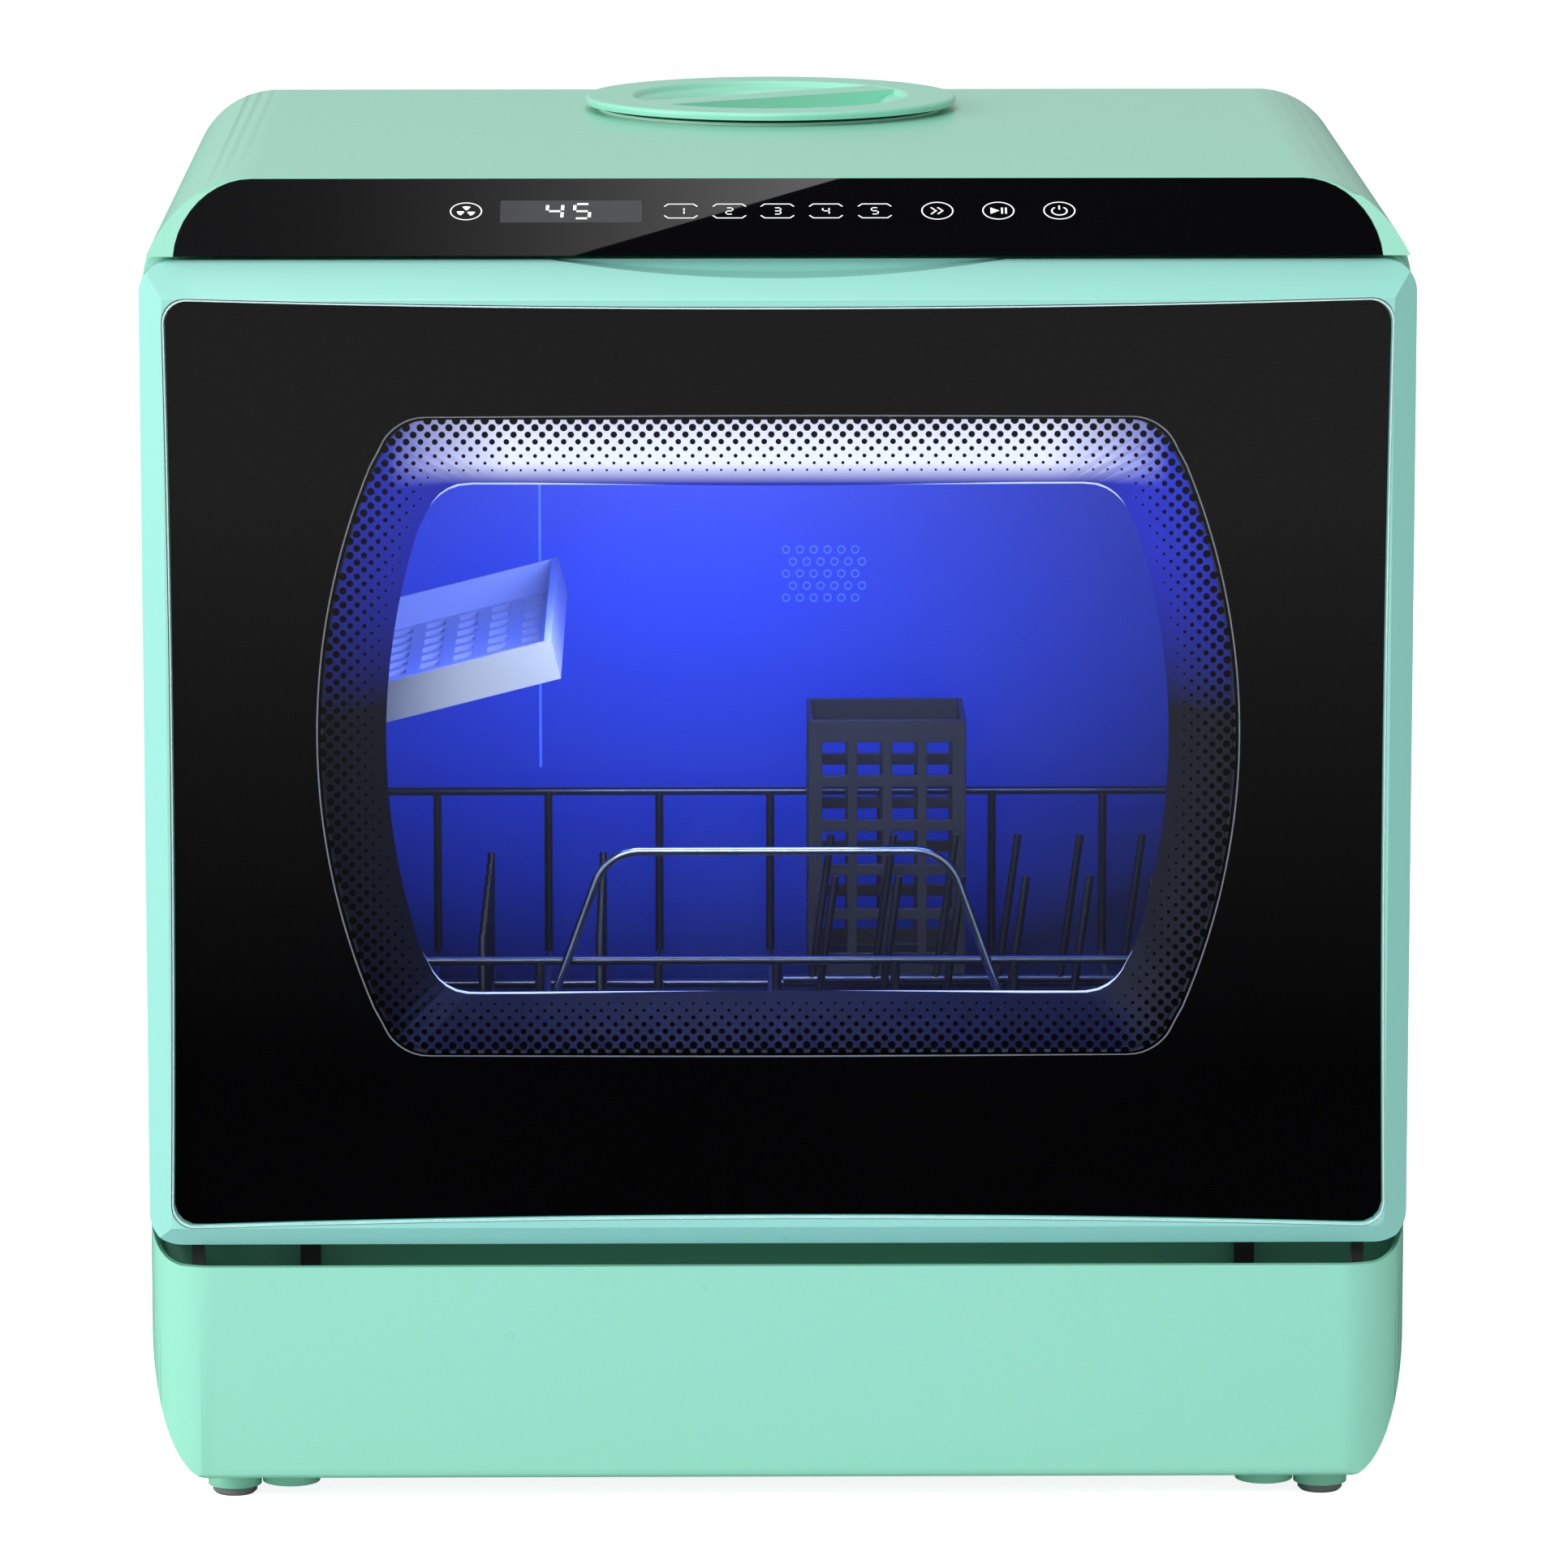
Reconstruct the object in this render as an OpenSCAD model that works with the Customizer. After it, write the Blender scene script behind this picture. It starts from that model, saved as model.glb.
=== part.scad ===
// Countertop dishwasher with a drop-down window door.
// Millimetres. X to the right, Y to the back, Z up; the feet stand on z = 0.

/* [Body] */
// Width of the machine
body_w = 420; // [400:1:450]
// Depth from the glass to the rear cover
body_d = 366; // [350:1:400]
// Height of the flat top above the worktop
top_z = 443; // [438:1:470]
// Wall of the moulded housings
wall = 3; // [2:0.5:3.5]
// Radius of the two long top corners
top_r = 36; // [20:1:45]
// Radius of the top rear edge
rear_r = 30; // [15:1:40]
// Height of the seam between housing and base
seam_z = 94; // [90:1:96]

/* [Base] */
// Height of the rubber feet below the base
foot_h = 10; // [8:1:14]
// Top edge of the base's front wall
base_top = 83; // [80:0.5:84]
// Radius of the base's upright corners
base_r = 22; // [12:1:30]
// Width of the base's curved lower side corners
base_edge_w = 20; // [12:1:24]
// Height of the base's curved lower side corners
base_edge_h = 50; // [30:1:60]
// Radius of the base's bottom edge at the front and rear
base_lip_r = 4; // [4:0.5:8]
// Setback of the base front behind the glass
base_set = 2; // [1:0.5:3]
// Radius of a foot
foot_r = 7.5; // [6:0.5:9]
// Height of a rubber pad
pad_h = 3; // [2:0.5:4]
// Radius of the concave ears beside the door
ear_r = 11; // [8:0.5:11]

/* [Door] */
// Bottom edge of the door
door_z0 = 90; // [89.5:0.5:91]
// Drop from the flat top to the door's top edge
door_drop = 23; // [23:1:28]
// Depth of the door
door_t = 34; // [33:0.5:35]
// Radius of the door's outer corners
door_r = 11; // [6:0.5:14]
// How far the bezel falls back from the glass to its outer edge
bezel_fall = 6; // [3:0.5:8]
// Bezel strip at the sides
bezel_side = 8.2; // [6:0.2:12]
// Bezel strip at the top
bezel_top = 12.3; // [8:0.1:16]
// Bezel strip at the bottom
bezel_bottom = 6.8; // [5:0.1:9]
// Glass thickness
glass_t = 4; // [3:0.5:5]
// Inward bow of the glass's side edges
bow_side = 1.3; // [0:0.1:3]
// Inward bow of the glass's top and bottom edges
bow_end = 2.9; // [0:0.1:4]
// Width of the ledge that carries the glass
ledge_w = 8; // [5:1:12]
// Width of the finger scoop in the door's top edge
scoop_w = 165; // [120:5:200]
// Depth of the finger scoop
scoop_h = 6; // [3:0.5:8]

/* [Window] */
// Half width of the window at mid height
win_half = 151; // [130:1:155]
// Lowest point of the window
win_z0 = 155.5; // [150:0.5:170]
// Drop from the door's top edge to the highest point of the window
win_drop = 52.5; // [50:0.5:70]
// Radius of the bulging window sides
win_side_r = 235; // [200:5:300]
// Draw-in of the bowl's sides towards its back
bowl_in_side = 17; // [10:1:24]
// Draw-in of the bowl's top
bowl_in_top = 22; // [10:1:26]
// Draw-in of the bowl's bottom
bowl_in_bottom = 12; // [6:1:20]
// Wall of the clear bowl
bowl_wall = 2.5; // [2:0.5:3]

/* [Control panel] */
// Depth of the sloping panel seen from above
panel_run = 43; // [36:1:48]
// Thickness of the panel glass
panel_t = 2.6; // [2:0.2:3]
// Half width of the panel's lower edge
panel_half = 198; // [180:1:199]
// Length of the panel's rounded ends
panel_end = 24; // [10:1:30]
// Display width
display_w = 47; // [30:1:60]
// Display height along the slope
display_h = 13.5; // [8:0.5:18]

/* [Fill cap] */
// Radius of the cap's rim
cap_r = 66; // [50:1:70]
// Distance of the cap's centre from the rear
cap_back = 98; // [97:1:120]
// Height of the cap's rim above the top
cap_rise = 5; // [3.5:0.5:7]
// Radius of the recess in the cap
cap_recess_r = 48; // [30:1:52]

/* [Tub] */
// Space between the housing's outside and the tub's inside
tub_gap = 24; // [22:1:40]
// Space behind the tub, up to the rear
rear_space = 63; // [61:1:80]
// Height of the tub floor
tub_floor = 100; // [99:0.5:102]
// Space between the tub's ceiling and the top
ceiling_gap = 41; // [39:1:60]
// Wall of the tub
tub_wall = 2; // [1:0.5:2.5]

/* [Rack] */
// Diameter of the rack's wires
wire_d = 3; // [2:0.5:4]
// Space beside the rack
rack_side_gap = 26; // [20:1:40]
// Space in front of the rack
rack_front_gap = 23.5; // [20:0.5:36]
// Space behind the rack
rack_rear_gap = 24; // [20:0.5:36]
// Height of the rack's floor wires
rack_z = 136; // [134:1:145]
// Height of the rack's front rim
rim_z = 176; // [165:1:185]
// Rise of the handle arch above the rim
arch_h = 38; // [25:1:50]
// Half length of the arch's straight top
arch_half = 46; // [30:1:60]
// Height of the plate tines
tine_h = 52; // [35:1:60]
// Spacing of the plate tines
tine_step = 22; // [18:1:30]

/* [Inside] */
// Reach of the spray arm from its axis
arm_reach = 122; // [90:1:130]
// Width of the cup shelf
shelf_w = 100; // [90:1:120]
// Depth of the cup shelf
shelf_d = 190; // [150:5:195]
// Tilt of the cup shelf
shelf_tilt = 14.2; // [8:0.2:18]
// Height of the cup shelf's hinge
shelf_z = 246; // [240:1:260]

/* [Hidden] */
$fn = 48;

mint = "#9adbc6";
mint_door = "#9ad7ce";
black = "#0b0b0d";
grey = "#8b9196";
eps = 0.1;
gap = 0.3; // clearance between parts that are put together
run = 0.05; // radial clearance of a running fit
y_front = -body_d / 2;
y_rear = body_d / 2;
half_w = body_w / 2;

// Door planes
door_z1 = top_z - door_drop;
win_z1 = door_z1 - win_drop;
door_back = y_front + door_t;
rim_y = door_back + 1.5;
glass_back = y_front + glass_t;
glass_half = half_w - bezel_side;
glass_z0 = door_z0 + bezel_bottom;
glass_z1 = door_z1 - bezel_top;
door_mid = (door_z0 + door_z1) / 2;

// Door hinge
hinge_y = y_front + 15;
hinge_z = door_z0 - 19;
pin_r = 3;
arm_w = 6.6;
arm_x = half_w - 53;
arm_eye_r = 7;
arm_reach_y = door_back - hinge_y;

// Control panel slope
beam_y = y_front + 2;
beam_z = door_z1 + 1.5;
slope = atan((top_z - beam_z) / panel_run);
slope_len = panel_run / cos(slope);

// Tub and rack
tub_half = half_w - tub_gap;
tub_front = rim_y + 2;
tub_back = y_rear - rear_space;
tub_top = top_z - ceiling_gap;
tub_r = 14;
rack_half = tub_half - rack_side_gap;
rack_y0 = tub_front + rack_front_gap;
rack_y1 = tub_back - rack_rear_gap;

// Ports, cover, feet and other places
cap_y = y_rear - cap_back;
seal_in = 2; // the door seal's inner and outer edge, outside the tub's mouth
seal_out = 7;
screw_r = 3;
fill_r = 57; // the funnel's outside
plug_r = fill_r - 2 - gap; // the cap's plug in the funnel
cap_recess_h = 13;
cap_turn = 33;
grip_w = 16;
cover_x = half_w - 60;
cover_z0 = seam_z + 36;
cover_z1 = top_z - 63;
display_x = -68;
display_up = 27; // the display's centre, measured up the slope
lens_t = 0.8;
base_ear = 0.8;
trough_y = rim_y + 0.5;
trough_z = foot_h + 43;
pan_x = half_w - 60;
pan_y = body_d / 2 - 56;
pan_z = foot_h + wall + 2;
drain_x = 70 - half_w;
mains_x = half_w - 70;
port_z = 47;
drain_r = 7;
gland_r = 7;
foot_x = half_w - 27;
foot_y = body_d / 2 - 27;
fan_x = 40 - cover_x;
fan_z = tub_top - 77;
vent_r = 30;
arm_top = door_z0 + 25;
bracket_t = 3;
latch_z = door_z1 - 6;
scoop_tilt = 16;
hub_y = (tub_front + tub_back) / 2;
hub_r = 8;
arm_z = tub_floor + 12;
sump_in = 42;
cup_off = [-24, -14];
rear_rim_z = rim_z + 19;
shelf_x = -tub_half + 16;
shelf_y = hub_y + 4.75 - shelf_d / 2;
basket_x = 13;
basket_y = rack_y1 - 52;
basket_w = 56;
basket_d = 48;
basket_h = 92;
pump_y = hub_y + sump_in + 41;
pump_z = pan_z + 28;
tank_x0 = fan_x + 50;
tank_x1 = tub_half - 46;
tank_y1 = y_rear - 9;
tank_z0 = tub_floor + 50;
tank_z1 = tub_top + 2;
spout_y = tub_back + 12;
spout_r = 5;
spout_wall = 1.5;
board_up = 25;
board_half = panel_half - 88;
board_h = 20;
board_t = 1.6;
weld = 0.2; // wires that are welded together lie this far apart
float_x = tank_x1 - 40;

// A box given by its lowest and highest corners
module block(lo, hi) {
    translate(lo) cube(hi - lo);
}

// A plate standing in the XZ plane: the outline is drawn in X and Z, and it fills y0 to y1
module upright(y0, y1) {
    translate([0, y1, 0]) rotate([90, 0, 0]) linear_extrude(y1 - y0) children();
}

// A bar along X: the outline is drawn in Y and Z, and it fills x0 to x1
module across(x0, x1) {
    translate([x0, 0, 0]) rotate([90, 0, 90]) linear_extrude(x1 - x0) children();
}

// A round bar between two points
module rod(from, to, r) {
    v = to - from;
    translate(from) rotate([0, acos(v.z / norm(v)), atan2(v.y, v.x)]) cylinder(r = r, h = norm(v));
}

// Both mirror images in X
module pair() {
    children();
    mirror([1, 0, 0]) children();
}

// Rectangle from lo to hi with corners of radius r
module rounded(lo, hi, r) {
    translate([lo.x + r, lo.y]) square([hi.x - lo.x - 2 * r, hi.y - lo.y]);
    translate([lo.x, lo.y + r]) square([hi.x - lo.x, hi.y - lo.y - 2 * r]);
    for (x = [lo.x + r, hi.x - r], y = [lo.y + r, hi.y - r]) translate([x, y]) circle(r);
}

// Points of an arc from angle a0 to a1 in n steps
function arc(c, r, a0, a1, n = 8) =
    [for (i = [0:n]) c + r * [cos(a0 + (a1 - a0) * i / n), sin(a0 + (a1 - a0) * i / n)]];

// Front view of the housing, inset by t, with its round top corners
module housing_front(t, z0) {
    r = top_r - t;
    x = half_w - t;
    translate([-x, z0]) square([2 * x, top_z - top_r - z0]);
    translate([-x + r, z0]) square([2 * (x - r), top_z - t - z0]);
    for (s = [-1, 1]) translate([s * (x - r), top_z - top_r]) circle(r);
}

// Side view of the housing, inset by t: the beam over the door, its slope, the flat top and the round rear edge
module housing_side(t, z0, front) {
    r = rear_r - t;
    polygon(concat(
        [[front, z0], [front, beam_z + t], [beam_y + t, beam_z + t]],
        [[beam_y + panel_run + t * tan(slope / 2), top_z - t]],
        arc([y_rear - rear_r, top_z - rear_r], r, 90, 0, 10),
        [[y_rear - t, z0]]));
}

// Outline of the glass: corners of radius r joined by edges that bow inwards, all moved out by t
function bowed(t) = let (x = glass_half + t, z0 = glass_z0 - t, z1 = glass_z1 + t, r = 7.5,
        xc = x - r, zm = (z0 + z1) / 2, zh = (z1 - z0) / 2 - r, n = 10)
    concat(
        arc([xc, z0 + r], r, -90, 0, 5),
        [for (i = [1:n - 1]) let (u = 2 * i / n - 1) [x - bow_side * (1 - u * u), zm + u * zh]],
        arc([xc, z1 - r], r, 0, 90, 5),
        [for (i = [1:n - 1]) let (u = 1 - 2 * i / n) [u * xc, z1 - bow_end * (1 - u * u)]],
        arc([-xc, z1 - r], r, 90, 180, 5),
        [for (i = [1:n - 1]) let (u = 1 - 2 * i / n) [-x + bow_side * (1 - u * u), zm + u * zh]],
        arc([-xc, z0 + r], r, 180, 270, 5),
        [for (i = [1:n - 1]) let (u = 2 * i / n - 1) [u * xc, z0 + bow_end * (1 - u * u)]]);

// Half width of the window at a height u, from -1 at the bottom to 1 at the top
function win_x(u, rise) = win_half - win_side_r + sqrt(win_side_r * win_side_r - u * u * rise * rise);

// Outline of the window: bulging sides, flat top and bottom, round corners; drawn in by the three amounts
function window(side, top, bottom) = let (z0 = win_z0 + bottom, z1 = win_z1 - top, zm = (z0 + z1) / 2,
        rise = (z1 - z0) / 2, r = 16, n = 12, u1 = 1 - r / rise, x1 = win_x(u1, rise) - side)
    concat(
        [for (i = [0:n]) let (u = (2 * i / n - 1) * u1) [win_x(u, rise) - side, zm + u * rise]],
        arc([x1 - r - 2, z1 - r], r, 20, 90, 5),
        arc([-x1 + r + 2, z1 - r], r, 90, 160, 5),
        [for (i = [0:n]) let (u = (1 - 2 * i / n) * u1) [side - win_x(u, rise), zm + u * rise]],
        arc([-x1 + r + 2, z0 + r], r, 200, 270, 5),
        arc([x1 - r - 2, z0 + r], r, 270, 340, 5));

// Where the housing's inner slope lies: setback of the inner skin at a height dz above the beam
skin = wall + panel_t;
function slope_in(dz) = (skin + dz * cos(slope)) / sin(slope);

// Places the slope's own plane: X stays, Y runs up the slope, Z points out of it
module on_slope() {
    translate([0, beam_y, beam_z]) rotate([slope, 0, 0]) children();
}

// Outline of the panel glass from y0 up the slope, drawn in by t, with quarter-ellipse ends
module panel_outline(t, y0) {
    run_up = slope_len - 1 - t;
    x1 = panel_half - panel_end;
    end = [for (i = [0:10]) [x1 + (panel_end - t) * cos(9 * i), run_up * sin(9 * i)]];
    half = concat([[panel_half - t, y0]], [for (p = end) if (p.y > y0) p]);
    polygon(concat(half, [for (i = [len(half) - 1:-1:0]) [-half[i].x, half[i].y]]));
}

module housing_inner() {
    intersection() {
        across(-half_w, half_w) polygon(concat(
            [[rim_y - 1, seam_z - 1], [rim_y - 1, beam_z + wall], [beam_y + slope_in(wall), beam_z + wall]],
            [[beam_y + slope_in(top_z - wall - beam_z), top_z - wall]],
            arc([y_rear - rear_r, top_z - rear_r], rear_r - wall, 90, 0, 10),
            [[y_rear - wall, seam_z - 1]]));
        upright(y_front, y_rear) housing_front(wall, seam_z - 1);
    }
}

// Mint shell: top, sides, rear edge and the beam that carries the panel
module top_housing() {
    color(mint) difference() {
        intersection() {
            across(-half_w, half_w) housing_side(0, seam_z, rim_y - 1);
            upright(y_front, y_rear) housing_front(0, seam_z);
        }
        housing_inner();
        on_slope() translate([0, 0, -panel_t]) linear_extrude(10) panel_outline(0, -3);
        translate([0, cap_y, top_z - 2 * wall]) cylinder(r = fill_r + gap, h = 3 * wall);
        block([-cover_x, y_rear - 2 * wall, cover_z0], [cover_x, y_rear + 1, cover_z1]);
    }
}

module control_panel() {
    color(black) difference() {
        on_slope() translate([0, 0, -panel_t]) linear_extrude(panel_t) panel_outline(0.2, 0.3);
        block([-half_w, y_front, beam_z - 9], [half_w, 0, beam_z + 0.1]);
        display(0, 2 * lens_t);
    }
}

module display_lens() {
    color("#33363a") display(eps, lens_t);
}

// The display's window, drawn in by t, h high from the bottom of its recess
module display(t, h) {
    on_slope() translate([display_x - display_w / 2 + t, display_up - display_h / 2 + t, -lens_t])
        cube([display_w - 2 * t, display_h - 2 * t, h]);
}

module display_board() {
    color("#1f5a3a") on_slope() translate([-board_half, board_up, -skin - board_t - eps])
        cube([2 * board_half, board_h, board_t]);
}

// Base skirt profile: round lower corners, inset by t
module tray(lo, hi, r) {
    translate([lo.x + r, lo.y]) square([hi.x - lo.x - 2 * r, hi.y - lo.y]);
    translate([lo.x, lo.y + r]) square([hi.x - lo.x, hi.y - lo.y - r]);
    for (x = [lo.x + r, hi.x - r]) translate([x, lo.y + r]) circle(r);
}

// Front view of the base: elliptical lower corners w wide and h high
module flared(lo, hi, w, h) {
    right = [for (i = [0:14]) let (a = 270 + 90 * i / 14) [hi.x - w + w * cos(a), lo.y + h + h * sin(a)]];
    polygon(concat(right, [[hi.x, hi.y], [-hi.x, hi.y]], [for (i = [14:-1:0]) [-right[i].x, right[i].y]]));
}

module base_form(t, z1) {
    y0 = y_front + base_set + t;
    y1 = y_rear - t;
    x = half_w - t;
    intersection() {
        translate([0, 0, foot_h + t]) linear_extrude(z1 - foot_h - t) rounded([-x, y0], [x, y1], base_r - t);
        upright(y0, y1) flared([-x, foot_h + t], [x, z1], base_edge_w - t, base_edge_h - t);
        across(-x, x) tray([y0, foot_h + t], [y1, z1], base_lip_r - t);
    }
}

// Mint base: walls, ears beside the door, trough for the hinges, rear ports
module base_skirt() {
    x = half_w - base_ear;
    color(mint) difference() {
        union() {
            difference() {
                base_form(0, seam_z);
                base_form(wall, seam_z + 1);
            }
            intersection() {
                base_form(1, seam_z);
                union() {
                    block([-half_w, trough_y, trough_z], [half_w, trough_y + wall, seam_z - 2]);
                    block([-half_w, y_front, trough_z], [half_w, trough_y + wall, trough_z + wall]);
                }
            }
        }
        upright(y_front - 1, rim_y) tray([-x, base_top], [x, seam_z + ear_r + 2], ear_r);
        block([-pan_x, -pan_y, foot_h - 1], [pan_x, pan_y, foot_h + wall + 1]);
        for (port = [[drain_x, drain_r + wall], [mains_x, gland_r]])
            translate([port.x, y_rear, port_z]) rotate([90, 0, 0])
                cylinder(r = port.y + gap, h = 4 * wall, center = true);
    }
}

module bottom_pan() {
    color(grey) block([-pan_x - 8, -pan_y - 8, foot_h + wall], [pan_x + 8, pan_y + 8, pan_z]);
}

module corners(x, y) {
    for (sx = [-1, 1], sy = [-1, 1]) translate([sx * x, sy * y, 0]) children();
}

// Mint bosses under the base: one carries the rubber foot, the other is a plain stop
module base_bosses() {
    color(mint) {
        corners(foot_x, foot_y) cylinder_between(foot_r + 1.5, pad_h, foot_h);
        corners(foot_x - 2 * foot_r - 4, foot_y) cylinder_between(foot_r + 2.2, pad_h + 1, foot_h);
    }
}

module foot_pads() {
    color("#7d7f80") corners(foot_x, foot_y) rotate_extrude()
        polygon([[0, 0], [foot_r - 1, 0], [foot_r, 1], [foot_r, pad_h], [0, pad_h]]);
}

// Rear service cover, held by a flange behind the housing's rear wall
module rear_cover() {
    color(mint) difference() {
        union() {
            block([-cover_x + gap, y_rear - wall - 2, cover_z0 + gap], [cover_x - gap, y_rear - 2, cover_z1 - gap]);
            block([-cover_x - 6, y_rear - wall - 2, cover_z0 - 6], [cover_x + 6, y_rear - wall, cover_z1 + 6]);
        }
        block([fan_x - vent_r, y_rear - 9, fan_z - vent_r], [fan_x + vent_r, y_rear + 1, fan_z + vent_r]);
    }
}

module rear_grille() {
    r = vent_r - gap;
    color(grey) difference() {
        block([fan_x - r, y_rear - wall - 2, fan_z - r], [fan_x + r, y_rear - 2, fan_z + r]);
        for (i = [-3:3]) let (z = fan_z + i * 7)
            block([fan_x - r + 4, y_rear - 9, z - 2], [fan_x + r - 4, y_rear, z + 2]);
    }
}

module cover_screws() {
    color("silver") pair() for (z = [cover_z0 + 10, (cover_z0 + cover_z1) / 2, cover_z1 - 10])
        translate([cover_x - 10, y_rear - 2, z]) rotate([-90, 0, 0]) difference() {
            cylinder(r = 3.5, h = 1.6);
            translate([-3, -0.5, 0.9]) cube([6, 1, 1]);
        }
}

// Mint door frame: a hollow ring whose front falls back from the glass to its outer edge
module door_frame() {
    color(mint_door) difference() {
        upright(y_front, door_back) rounded([-half_w + 0.5, door_z0], [half_w - 0.5, door_z1], door_r);
        bezel_cut(half_w - 0.5 - glass_half, [glass_half, 0, door_mid], 0);
        bezel_cut(half_w - 0.5 - glass_half, [-glass_half, 0, door_mid], 180);
        bezel_cut(door_z1 - glass_z1, [0, 0, glass_z1], 90);
        bezel_cut(glass_z0 - door_z0, [0, 0, glass_z0], 270);
        upright(y_front - 1, glass_back) polygon(bowed(0.2));
        upright(y_front - 1, door_back) polygon(bowed(-ledge_w));
        upright(glass_back + bezel_fall, door_back + 1)
            rounded([-half_w + 0.5 + wall, door_z0 + wall], [half_w - 0.5 - wall, door_z1 - wall], door_r - wall);
        pair() block([arm_x - arm_w / 2 - gap, door_back - 7, door_z0 - 1],
            [arm_x + arm_w / 2 + gap, door_back + 1, door_z0 + wall + 1]);
        scoop();
    }
}

// A slanted cut along one bezel strip, turned about Y; strip is the strip's width at the cut
module bezel_cut(strip, at, turn) {
    tilt = atan(bezel_fall / strip);
    translate([at.x, y_front, at.z]) rotate([0, -turn, 0]) rotate([0, 0, tilt])
        translate([0, -60, -300]) cube([60, 60, 600]);
}

// Finger scoop: a wide shallow arc that slopes up towards the back
module scoop() {
    r = (scoop_w * scoop_w / 4 + scoop_h * scoop_h) / (2 * scoop_h);
    n = 24;
    half = asin(scoop_w / 2 / r);
    lip = bezel_fall / 2; // where the scoop's front edge lies behind the glass's face
    translate([0, y_front + lip, door_z1 - scoop_h]) rotate([scoop_tilt, 0, 0])
        upright(-lip - 3, glass_t + lip - 1) polygon(concat(
            arc([0, r], r, -90 - half * 1.3, -90 + half * 1.3, n),
            [[scoop_w, scoop_h + 30], [-scoop_w, scoop_h + 30]]));
}

module door_glass() {
    color(black, 0.6) upright(y_front, glass_back) polygon(bowed(0));
}

// Clear moulded bowl behind the glass: flange, sloping walls and a flat back pane
module bowl_window() {
    y0 = glass_back + bezel_fall / 2;
    color("#cfe6ff", 0.35) union() {
        difference() {
            upright(glass_back, y0) polygon(window(-10, -8, -8));
            upright(glass_back - 1, y0 + 1) polygon(window(0, 0, 0));
        }
        difference() {
            bowl_form(0, y0);
            bowl_form(bowl_wall, y0);
        }
    }
}

module bowl_form(t, y0) {
    y1 = door_back - (t > 0 ? bowl_wall : 0);
    hull() {
        upright(y0 - (t > 0 ? 1 : 0.5), y0) polygon(window(t - bowl_wall, t - bowl_wall, t - bowl_wall));
        upright(y1 - 0.5, y1) polygon(window(bowl_in_side + t, bowl_in_top + t, bowl_in_bottom + t));
    }
}

// Grey liner that closes the back of the door round the bowl
module door_liner() {
    x = half_w - 0.5 - wall - gap;
    color("#c9ced2") difference() {
        upright(door_back - 2, door_back)
            rounded([-x, door_z0 + wall + gap], [x, door_z1 - wall - gap], door_r - wall - gap);
        upright(door_back - 3, door_back + 1)
            polygon(window(bowl_in_side - 3, bowl_in_top - 3, bowl_in_bottom - 3));
        pair() block([arm_x - arm_w / 2 - gap, door_back - 3, door_z0],
            [arm_x + arm_w / 2 + gap, door_back + 1, arm_top + 1]);
    }
}

module liner_screws() {
    x = tub_half + seal_out + screw_r + 2;
    color("silver") pair() for (z = [door_z0 + 30, door_mid, door_z1 - 30])
        translate([x, door_back, z]) rotate([-90, 0, 0]) cylinder(r = screw_r, h = 0.8);
}

// Black goose-neck arms: an eye round the hinge pin and a strap that rises into the door
module hinge_arms() {
    s = arm_reach_y;
    color(black) pair() difference() {
        translate([0, hinge_y, hinge_z]) across(arm_x - arm_w / 2, arm_x + arm_w / 2) {
            circle(arm_eye_r);
            polygon([[0, -6], [s, -6], [s, arm_top - hinge_z], [s - 5, arm_top - hinge_z], [s - 5, 5.5], [0, 5.5]]);
        }
        translate([arm_x, hinge_y, hinge_z]) rotate([0, 90, 0]) cylinder(r = pin_r + run, h = 20, center = true);
    }
}

module hinge_pins() {
    color("silver") pair() translate([arm_x, hinge_y, hinge_z]) rotate([0, 90, 0])
        cylinder(r = pin_r, h = arm_w + 2 * bracket_t + 4, center = true);
}

// Steel forks that stand in the trough and hold the hinge pins
module hinge_brackets() {
    color("#9aa0a5") pair() difference() {
        union() {
            for (s = [-1, 1]) translate([arm_x + s * (arm_w / 2 + 0.5 + bracket_t / 2), 0, 0])
                across(-bracket_t / 2, bracket_t / 2) {
                    translate([hinge_y, hinge_z]) circle(6);
                    translate([hinge_y - 6, trough_z + wall]) square([12, hinge_z - trough_z - wall]);
                }
            block([arm_x - arm_w / 2 - 0.6, hinge_y - 6, trough_z + wall],
                [arm_x + arm_w / 2 + 0.6, hinge_y + 6, trough_z + wall + 2]);
        }
        translate([arm_x, hinge_y, hinge_z]) rotate([0, 90, 0]) cylinder(r = pin_r, h = 40, center = true);
    }
}

// Rubber posts that the closed door sits just above
module door_bumpers() {
    color(black) pair() block([half_w - 18, hinge_y, trough_z + wall], [half_w - 14, hinge_y + 6, door_z0 - 0.5]);
}

module latch_hook() {
    color(grey) block([-8, door_back, latch_z - 5], [8, door_back + 13, latch_z]);
}

// Sprung plunger over the latch hook
module catch_bolt() {
    color("silver") translate([0, rim_y + 7, 0]) union() {
        translate([0, 0, latch_z + 0.4]) cylinder(r = 3, h = 8);
        translate([0, 0, latch_z + 5]) cylinder(r = 4.5, h = 2);
    }
}

module catch_guide() {
    color(grey) difference() {
        block([-9, rim_y + 2, latch_z + 1.5], [9, rim_y + 12, latch_z + 14]);
        translate([0, rim_y + 7, 0]) {
            translate([0, 0, latch_z]) cylinder(r = 3 + run, h = 12.5);
            translate([0, 0, latch_z + 5 - gap]) cylinder(r = 4.8, h = 7.5);
        }
    }
}

// Grey frame round the tub's mouth, behind the closed door
module mouth_frame() {
    color("#aeb4b8") difference() {
        intersection() {
            upright(rim_y, rim_y + 2) housing_front(wall + 0.2, seam_z);
            block([-half_w, rim_y, seam_z], [half_w, rim_y + 2, beam_z + wall]);
        }
        upright(rim_y - 1, rim_y + 3) tub_outline(0);
        block([-9, rim_y - 1, latch_z - 7], [9, rim_y + 3, latch_z + 1]);
    }
}

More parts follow.
